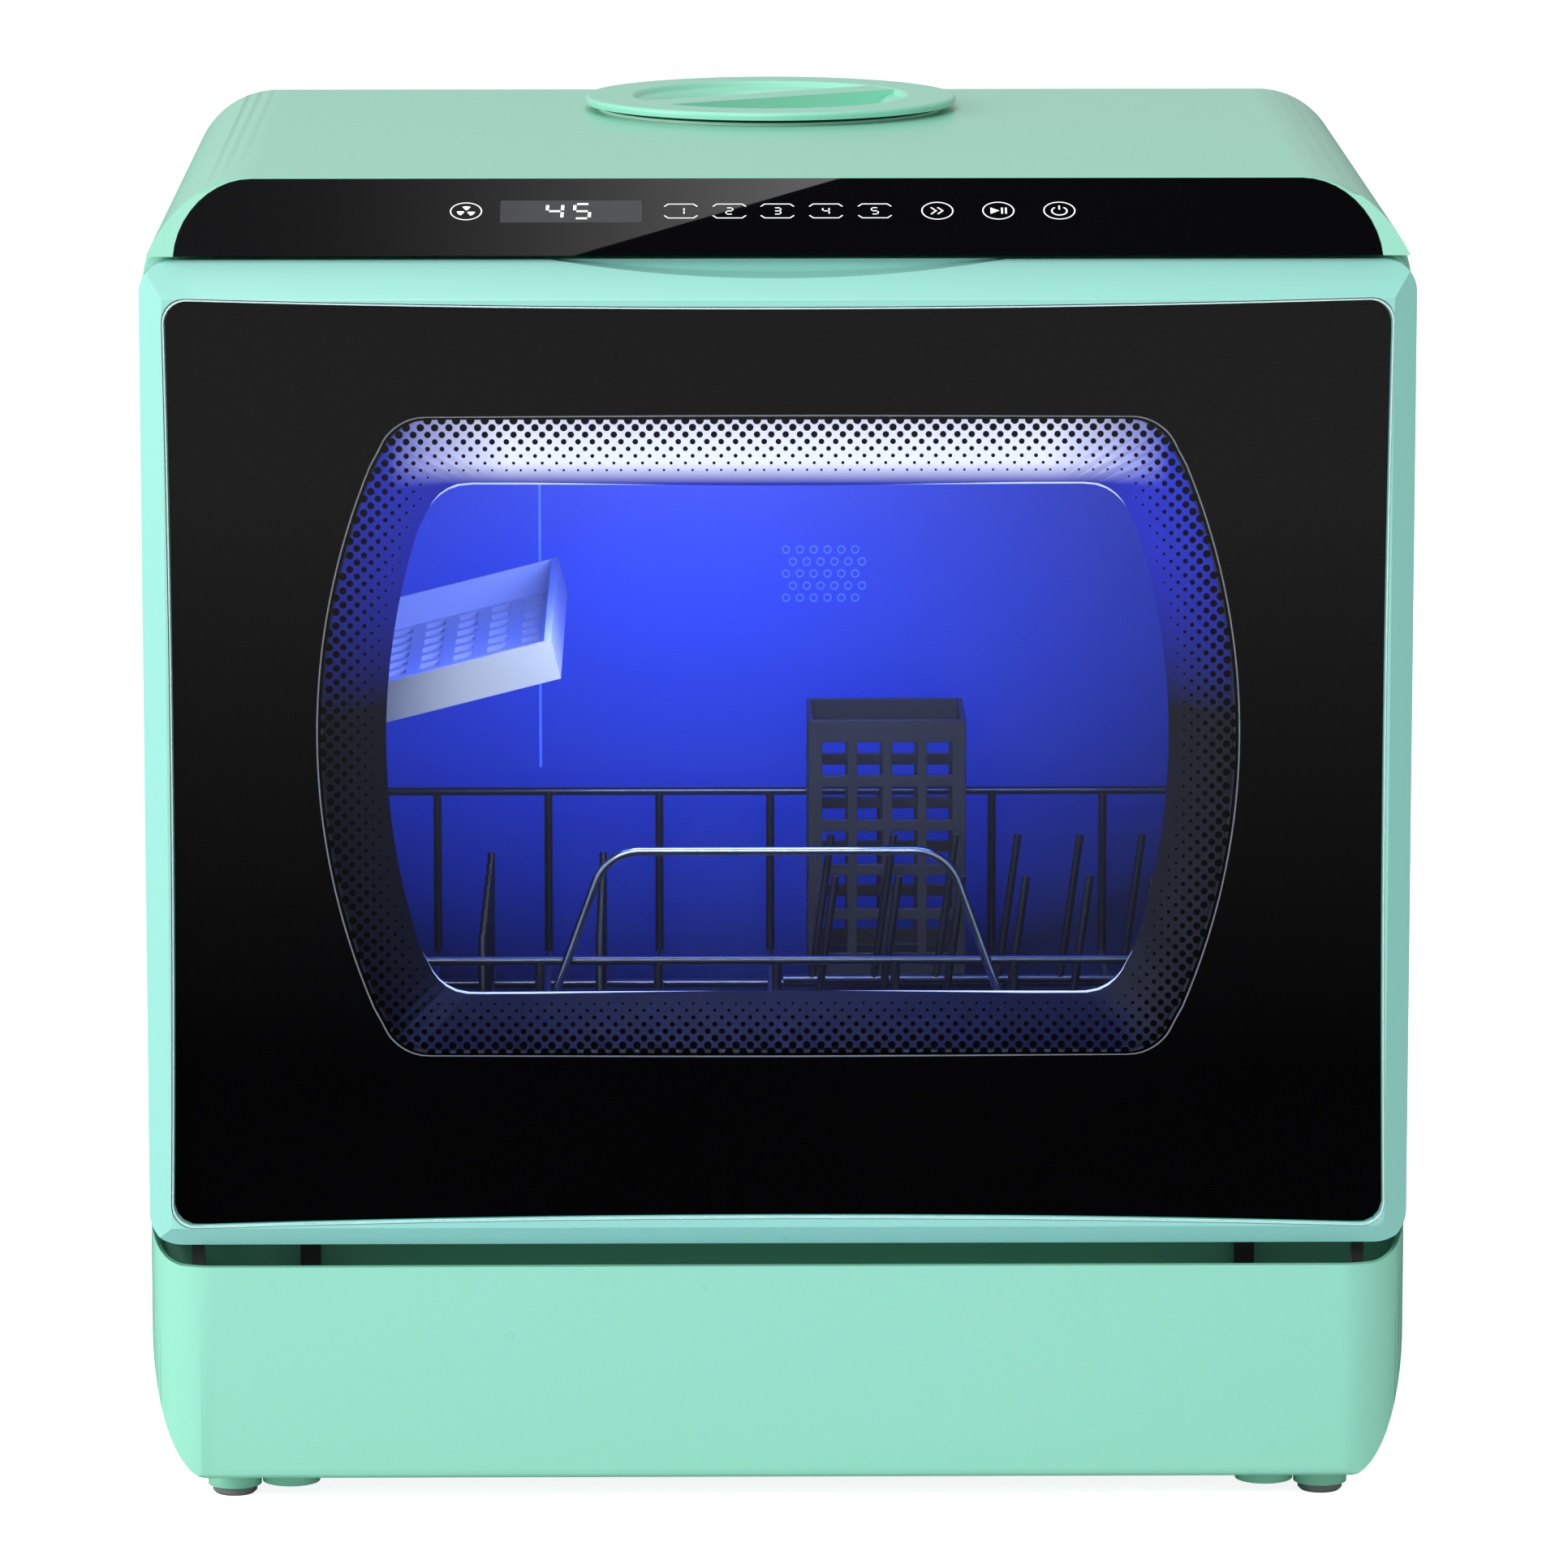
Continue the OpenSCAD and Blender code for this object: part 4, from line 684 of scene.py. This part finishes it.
def depth_in(outline, x, z):
    """How far a point lies inside an outline; negative outside it."""
    spot = Vector((x, z))
    nearest = math.inf
    inside = False
    for (ax, az), (bx, bz) in zip(outline, outline[1:] + outline[:1]):
        a, edge = Vector((ax, az)), Vector((bx - ax, bz - az))
        if edge.length_squared:
            part = max(0.0, min(1.0, (spot - a).dot(edge) / edge.length_squared))
            nearest = min(nearest, (spot - a - edge * part).length)
        if (az > z) != (bz > z) and x < ax + (z - az) * (bx - ax) / (bz - az):
            inside = not inside
    return nearest if inside else -nearest


# ---------------------------------------------------------------- the print and lines of the door's window
SAMPLES = 540
PRINT_BACK = 0.06 * MM - GLASS_THICK  # the print starts this little inside the glass's rear face
WHOLE_WINDOW = window_outline(0, 0, 0)
WINDOW_ROUND = sampled(WHOLE_WINDOW, SAMPLES)
EDGE_HIGHLIGHT_OUT, EDGE_HIGHLIGHT_IN = 0.15 * MM, 0.6 * MM  # the painted edge highlight's line, from the glass's outline
EDGE_HIGHLIGHT_DEEP = 0.3 * MM  # and from its face
PRINT_INSET = 0.9 * MM  # from the glass's outline to the black print

# The halftone print round the window
DOT_FROM, DOT_TO = 0.2 * MM, 18.5 * MM  # dots lie this far inside the window's edge
DOT_ROW = 2.35 * MM
DOT_STEP = 4.7 * MM
DOT_BIG = 1.42 * MM
DOT_SMALL = 0.3 * MM
DOT_SIDES = 10

# The painted highlight, a grey line just outside the window, and the moulded bowl behind it
LINE_IN, LINE_OUT = 1.0 * MM, 1.5 * MM
BOWL_WALL = 2.5 * MM
BOWL_IN = (17 * MM, 22 * MM, 12 * MM)  # draw-in of the bowl's back pane: sides, top, bottom
BOWL_BACK = GLASS_LO.y - BOWL_HI.y + BOWL_WALL  # the pane's front face, as a height of on_door
PANE_HIGHLIGHT_IN = 2.7 * MM  # from the pane's edge to the painted highlight strip
PANE_HIGHLIGHT_W = 0.8 * MM
PANE_HIGHLIGHT_LOW, PANE_HIGHLIGHT_HIGH = 0.1 * MM, 0.6 * MM  # in front of the pane
# A sheet inside the bowl's sloping walls that carries painted light and shade: its thickness and its edges
PAINTED_SHEET_THICK = 0.3 * MM
PAINTED_SHEET_FRONT_IN, PAINTED_SHEET_FRONT_DEEP = 0.6 * MM, 3.4 * MM  # its front edge, from the window's and behind the glass
PAINTED_SHEET_BACK_IN, PAINTED_SHEET_BACK_OUT = 3.4 * MM, 0.8 * MM  # its back edge, from the pane's and in front of it


def door_print():
    """The black print behind the glass: everything round the window."""
    mesh = bmesh.new()
    outer = sampled(glass_outline(PRINT_INSET), SAMPLES)
    band(mesh, outer, WINDOW_ROUND, on_door, PRINT_BACK, PRINT_BACK + PRINT)
    finish_piece("door_print", mesh, "door", BLACK_INK)


def window_dots():
    """The halftone of round black dots, in staggered rows that shrink towards the middle."""
    mesh = bmesh.new()
    rows = int((WIN_Z1 - WIN_Z0) / DOT_ROW / 2) + 2
    columns = int(WIN_HALF / DOT_STEP) + 2
    for row in range(-rows, rows + 1):
        z = WIN_MID + row * DOT_ROW
        for column in range(-columns, columns + 1):
            x = (column + 0.5 * (row % 2)) * DOT_STEP
            depth = depth_in(WHOLE_WINDOW, x, z)
            if depth < DOT_FROM or depth > DOT_TO:
                continue
            radius = DOT_BIG + (DOT_SMALL - DOT_BIG) * depth / DOT_TO
            plate(mesh, circle_points(x, z, radius, DOT_SIDES), on_door, PRINT_BACK, PRINT_BACK + PRINT)
    finish_piece("window_dots", mesh, "door", BLACK_INK)


def window_rim_highlight():
    """A painted highlight round the window's rim: a thin grey line in front of the black print."""
    mesh = bmesh.new()
    outer, inner = grown(WINDOW_ROUND, LINE_OUT), grown(WINDOW_ROUND, LINE_IN)
    band(mesh, outer, inner, on_door, PRINT_BACK + 1.5 * PRINT, PRINT_BACK + 2 * PRINT)
    finish_piece("window_rim_highlight", mesh, "door", RIM_PAINTED_HIGHLIGHT)


def pane_highlight_strip():
    """A thin strip round the bowl's back pane, painted as the highlight along its edge."""
    mesh = bmesh.new()
    line = sampled(window_outline(*[amount + PANE_HIGHLIGHT_IN for amount in BOWL_IN]), SAMPLES // 2)
    band(mesh, line, grown(line, -PANE_HIGHLIGHT_W), on_door, BOWL_BACK + PANE_HIGHLIGHT_LOW, BOWL_BACK + PANE_HIGHLIGHT_HIGH)
    finish_piece("pane_highlight_strip", mesh, "door", PANE_PAINTED_HIGHLIGHT)


def painted_light_window_sheet():
    """A thin sheet inside the bowl's sloping walls that carries painted light and painted shade."""
    mesh = bmesh.new()
    count = SAMPLES // 2
    front = grown(sampled(WHOLE_WINDOW, count), -PAINTED_SHEET_FRONT_IN)
    back = grown(sampled(window_outline(*BOWL_IN), count), -PAINTED_SHEET_BACK_IN)
    front_at = -GLASS_THICK - PAINTED_SHEET_FRONT_DEEP
    back_at = BOWL_BACK + PAINTED_SHEET_BACK_OUT
    tube(mesh, on_door, ((front, front_at), (grown(front, -PAINTED_SHEET_THICK), front_at),
                         (grown(back, -PAINTED_SHEET_THICK), back_at), (back, back_at)))
    finish_piece("painted_light_window_sheet", mesh, "door", PAINTED_LIGHT_WINDOW_FINISH)


def glass_edge():
    """A painted highlight along the edge of the door's glass: a thin pale line just inside it."""
    mesh = bmesh.new()
    outer, inner = glass_outline(EDGE_HIGHLIGHT_OUT), glass_outline(EDGE_HIGHLIGHT_IN)
    band(mesh, outer, inner, on_door, -EDGE_HIGHLIGHT_DEEP - PRINT, -EDGE_HIGHLIGHT_DEEP)
    finish_piece("glass_edge", mesh, "door", GLASS_EDGE_HIGHLIGHT)


# ---------------------------------------------------------------- relief of the tub's back wall
RELIEF_LOW = 0.02 * MM  # the relief starts this far off the wall
RIB_LEFT, RIB_RIGHT = -83 * MM, 60 * MM
RIB_FOOT, RIB_TOP = 200 * MM, 335 * MM
RIB_CORNER_R = 10 * MM
RIB_W, RIB_HIGH = 0.9 * MM, 0.5 * MM
VENT_X, VENT_Z = 6 * MM, 262 * MM  # the lowest hole on the left
VENT_ROWS, VENT_COLUMNS = 5, 6
VENT_STEP, VENT_RISE = 5 * MM, 4.4 * MM
VENT_R, VENT_RIM_W, VENT_RIM_HIGH = 1.3 * MM, 0.4 * MM, 0.3 * MM
VENT_STEPS = 12


def on_back_wall(x, z, height):
    """A place on the tub's rear wall in metres, and its distance in front of that wall."""
    return Vector((x, TUB_HI.y - TUB_WALL - height, z))


def tub_relief():
    """The moulded panel line and the vent holes' rims on the tub's rear wall."""
    mesh = bmesh.new()
    bend = arc_points(RIB_LEFT + RIB_CORNER_R, RIB_TOP - RIB_CORNER_R, RIB_CORNER_R, 180, 90, 6)
    rib = [(RIB_LEFT, RIB_FOOT)] + bend + [(RIB_RIGHT, RIB_TOP)]
    stroke(mesh, rib, RIB_W, on_back_wall, RELIEF_LOW, RIB_HIGH)
    for row in range(VENT_ROWS):
        for column in range(VENT_COLUMNS):
            x = VENT_X + (column + 0.5 * (row % 2)) * VENT_STEP
            z = VENT_Z + row * VENT_RISE
            ring(mesh, x, z, VENT_R, VENT_RIM_W, on_back_wall, RELIEF_LOW, VENT_RIM_HIGH, VENT_STEPS)
    # The relief carries painted blue light
    finish_piece("tub_relief", mesh, "machine", RELIEF_PAINTED_LIGHT)


panel_marks()
display_digits()
door_print()
window_dots()
window_rim_highlight()
pane_highlight_strip()
painted_light_window_sheet()
glass_edge()
tub_relief()

# Daylight reaches the rack through the window: clear parts cast no shadow
for node in ("door_glass", "bowl_window"):
    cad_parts[node].visible_shadow = False

# ---------------------------------------------------------------- camera, at the photograph's viewing angle
CAMERA_AT = Vector((-0.033, -3.183, 0.774))
CAMERA_AIM = Vector((0.0039, 0.0, 0.2144))
SENSOR_MM = 36
LENS_MM = 211.9
SIGHT = 60  # metres, past the floor's far edge

camera = bpy.data.objects.new("camera", bpy.data.cameras.new("camera"))
camera.data.sensor_width = SENSOR_MM
camera.data.lens = LENS_MM
camera.data.clip_end = SIGHT
camera.location = CAMERA_AT
camera.rotation_euler = (CAMERA_AIM - CAMERA_AT).to_track_quat("-Z", "Y").to_euler()
bpy.context.scene.collection.objects.link(camera)
bpy.context.scene.camera = camera

# ---------------------------------------------------------------- studio
FLOOR_HALF = 30
PAPER_CLOUD = 1 / 3  # width of the faint clouds in the floor's white
PAPER_GLOW = 0.86  # lifts the floor to plain white for the camera
# What reflections see of the floor brightens towards the viewer, between these places along Y
RAMP_NEAR, RAMP_FAR = -0.9, -2.6
RAMP_DARK, RAMP_BRIGHT = 0.02, 0.9

# Two cards over the machine meet in a slanting edge, which the control panel mirrors between two of its spots
CARD_Z = 2.2
CARD_REACH = Vector((1.6, 0, 0))
CARD_SPARE = 2  # the edge runs on past both spots by this many of its own lengths
EDGE_LOW, EDGE_HIGH, LEFT_END = (-66, 1), (21, 47), (-198, 24)  # across and up the panel, in millimetres
SOFTBOX_DARK, SOFTBOX_BRIGHT = 0.1, 1.6
FLAG_DARK, FLAG_BRIGHT = 0.015, 0.02
CLOTH_CURVE = 2.4  # how late the cloth's light rises towards the edge

# Lamps: place, aim, width, height, watts and colour
MACHINE_MIDDLE = (0, 0, 0.22)
LAMPS = {
    "key": ((-2.9, -1.1, 1.3), MACHINE_MIDDLE, 1.5, 1.5, 54, "#FFFFFF"),
    "front": ((-0.7, -3.4, 2.3), MACHINE_MIDDLE, 1.8, 1.0, 66, "#FFFFFF"),
    "overhead": ((-0.2, 0.2, 2.6), (0, 0, 0.4), 1.8, 1.8, 17, "#FFFFFF"),
    "tub_lamp": ((0.0, TUB_LO.y + 0.05, TUB_HI.z - 0.02), (0.0, 0.05, 0.2), 0.26, 0.03, 1.4, "#4468FF"),
    "tub_fill": ((-0.02, TUB_LO.y + 0.02, 0.33), (0.0, 0.06, 0.2), 0.1, 0.04, 0.35, "#C8D0FF"),
}
SKY_ON_PLASTIC, SKY_IN_GLOSS = 0.36, 0.5  # how bright the white surroundings light, and mirror


def seen_in_panel(spot, height):
    """Where, at a height above the floor, the camera sees the studio mirrored in a spot of the panel."""
    at = on_slope(*spot, 0)
    mirrored = CAMERA_AT - 2 * (CAMERA_AT - at).dot(SLOPE_OUT) * SLOPE_OUT
    way = at - mirrored
    return at + way * (height - at.z) / way.z


def seamless_white():
    """White floor that runs on as the backdrop: plain white to the camera, and a softer white in reflections,
    with the machine's own shadow left in it."""
    mat = blank("seamless_white")
    place = add(mat, "ShaderNodeTexCoord").outputs["Object"]
    path = add(mat, "ShaderNodeLightPath")
    depth = add(mat, "ShaderNodeSeparateXYZ", None, {"Vector": place})
    far = add(mat, "ShaderNodeMapRange",
              {"From Min": RAMP_NEAR, "From Max": RAMP_FAR, "To Min": RAMP_DARK, "To Max": RAMP_BRIGHT},
              {"Value": depth.outputs["Y"]})
    grain = add(mat, "ShaderNodeTexNoise", {"Scale": 1 / PAPER_CLOUD}, {"Vector": place})
    paper = add(mat, "ShaderNodeMix",
                {"data_type": "RGBA", MIX_A: linear("#EDEDED"), MIX_B: linear("#F2F2F2")},
                {MIX_BY: grain.outputs["Fac"]})
    direct = add(mat, "ShaderNodeMath", {"operation": "MULTIPLY", 1: PAPER_GLOW},
                 {0: path.outputs["Is Camera Ray"]})
    mirrored = add(mat, "ShaderNodeMath", {"operation": "MULTIPLY"},
                   {0: path.outputs["Is Glossy Ray"], 1: far.outputs[0]})
    through = add(mat, "ShaderNodeMath", {"operation": "MULTIPLY", 1: PAPER_GLOW},
                  {0: path.outputs["Is Transmission Ray"]})
    glow = add(mat, "ShaderNodeMath", {"operation": "MAXIMUM"}, {0: direct.outputs[0], 1: through.outputs[0]})
    sheet = add(mat, "ShaderNodeBsdfDiffuse", None, {"Color": paper.outputs[MIXED]})
    lit = add(mat, "ShaderNodeEmission", {"Color": linear("#FFFFFF")}, {"Strength": glow.outputs[0]})
    both = add(mat, "ShaderNodeAddShader", None, {0: sheet.outputs[0], 1: lit.outputs[0]})
    ramp = add(mat, "ShaderNodeEmission", {"Color": linear("#FFFFFF")}, {"Strength": mirrored.outputs[0]})
    seen = add(mat, "ShaderNodeMixShader", None,
               {0: path.outputs["Is Glossy Ray"], 1: both.outputs[0], 2: ramp.outputs[0]})
    add(mat, "ShaderNodeOutputMaterial", None, {"Surface": seen.outputs[0]})
    return mat


def stretched_cloth(name, start, end, low, high):
    """Cloth lit from behind: its light rises along X from low at start to high at end."""
    mat = blank(name)
    place = add(mat, "ShaderNodeTexCoord").outputs["Object"]
    across = add(mat, "ShaderNodeSeparateXYZ", None, {"Vector": place})
    along = add(mat, "ShaderNodeMapRange", {"From Min": start, "From Max": end},
                {"Value": across.outputs["X"]})
    curve = add(mat, "ShaderNodeMath", {"operation": "POWER", 1: CLOTH_CURVE}, {0: along.outputs[0]})
    rise = add(mat, "ShaderNodeMapRange", {"To Min": low, "To Max": high}, {"Value": curve.outputs[0]})
    lit = add(mat, "ShaderNodeEmission", {"Color": linear("#FFFFFF")}, {"Strength": rise.outputs[0]})
    add(mat, "ShaderNodeOutputMaterial", None, {"Surface": lit.outputs[0]})
    return mat


def sheet_of(name, corners, finish):
    """A flat sheet of the studio."""
    mesh = bmesh.new()
    mesh.faces.new([mesh.verts.new(corner) for corner in corners])
    return object_of(name, mesh, finish)


def studio_floor():
    """The floor, far wider than the camera sees."""
    corners = [(sx * FLOOR_HALF, sy * FLOOR_HALF, 0) for sx, sy in ((-1, -1), (1, -1), (1, 1), (-1, 1))]
    floor = sheet_of("studio_floor", corners, seamless_white())


def studio_card(name, start, end, reach, finish):
    """A card from the slanting edge over a distance of reach, which only shows in reflections."""
    card = sheet_of(name, [start, end, end + reach, start + reach], finish)
    for ray in ("camera", "diffuse", "transmission", "shadow", "volume_scatter"):
        setattr(card, "visible_" + ray, False)


def panel_cards():
    """The softbox left of the slanting edge and the black flag right of it."""
    low, high = seen_in_panel(EDGE_LOW, CARD_Z), seen_in_panel(EDGE_HIGH, CARD_Z)
    start, end = low - CARD_SPARE * (high - low), high + CARD_SPARE * (high - low)
    left_x = seen_in_panel(LEFT_END, CARD_Z).x
    softbox = stretched_cloth("softbox_cloth", left_x, high.x, SOFTBOX_DARK, SOFTBOX_BRIGHT)
    flag = stretched_cloth("black_flag", left_x, high.x, FLAG_DARK, FLAG_BRIGHT)
    studio_card("softbox", start, end, -CARD_REACH, softbox)
    studio_card("flag", start, end, CARD_REACH, flag)


def area_lamp(name, at, aim, width, height, watts, colour):
    """A soft rectangular lamp."""
    data = bpy.data.lights.new(name, "AREA")
    data.shape = "RECTANGLE"
    data.size = width
    data.size_y = height
    data.energy = watts
    data.color = linear(colour)[:3]
    lamp = bpy.data.objects.new(name, data)
    lamp.location = at
    lamp.rotation_euler = (Vector(aim) - Vector(at)).to_track_quat("-Z", "Y").to_euler()
    bpy.context.scene.collection.objects.link(lamp)


def white_surroundings():
    """White all round: full white behind the machine and through its glass, and softer where it lights the
    machine or is mirrored."""
    world = bpy.data.worlds.new("studio")
    world.use_nodes = True
    bpy.context.scene.world = world
    world.node_tree.nodes.clear()
    path = add(world, "ShaderNodeLightPath")
    seen = add(world, "ShaderNodeMath", {"operation": "MAXIMUM"},
               {0: path.outputs["Is Camera Ray"], 1: path.outputs["Is Transmission Ray"]})
    mirrored = add(world, "ShaderNodeMapRange", {"To Min": SKY_ON_PLASTIC, "To Max": SKY_IN_GLOSS},
                   {"Value": path.outputs["Is Glossy Ray"]})
    strength = add(world, "ShaderNodeMath", {"operation": "MAXIMUM"},
                   {0: seen.outputs[0], 1: mirrored.outputs[0]})
    sky = add(world, "ShaderNodeBackground", {"Color": linear("#FFFFFF")}, {"Strength": strength.outputs[0]})
    add(world, "ShaderNodeOutputWorld", None, {"Surface": sky.outputs[0]})


studio_floor()
panel_cards()
for name, lamp in LAMPS.items():
    area_lamp(name, *lamp)
white_surroundings()
bpy.context.scene.view_settings.view_transform = "Standard"
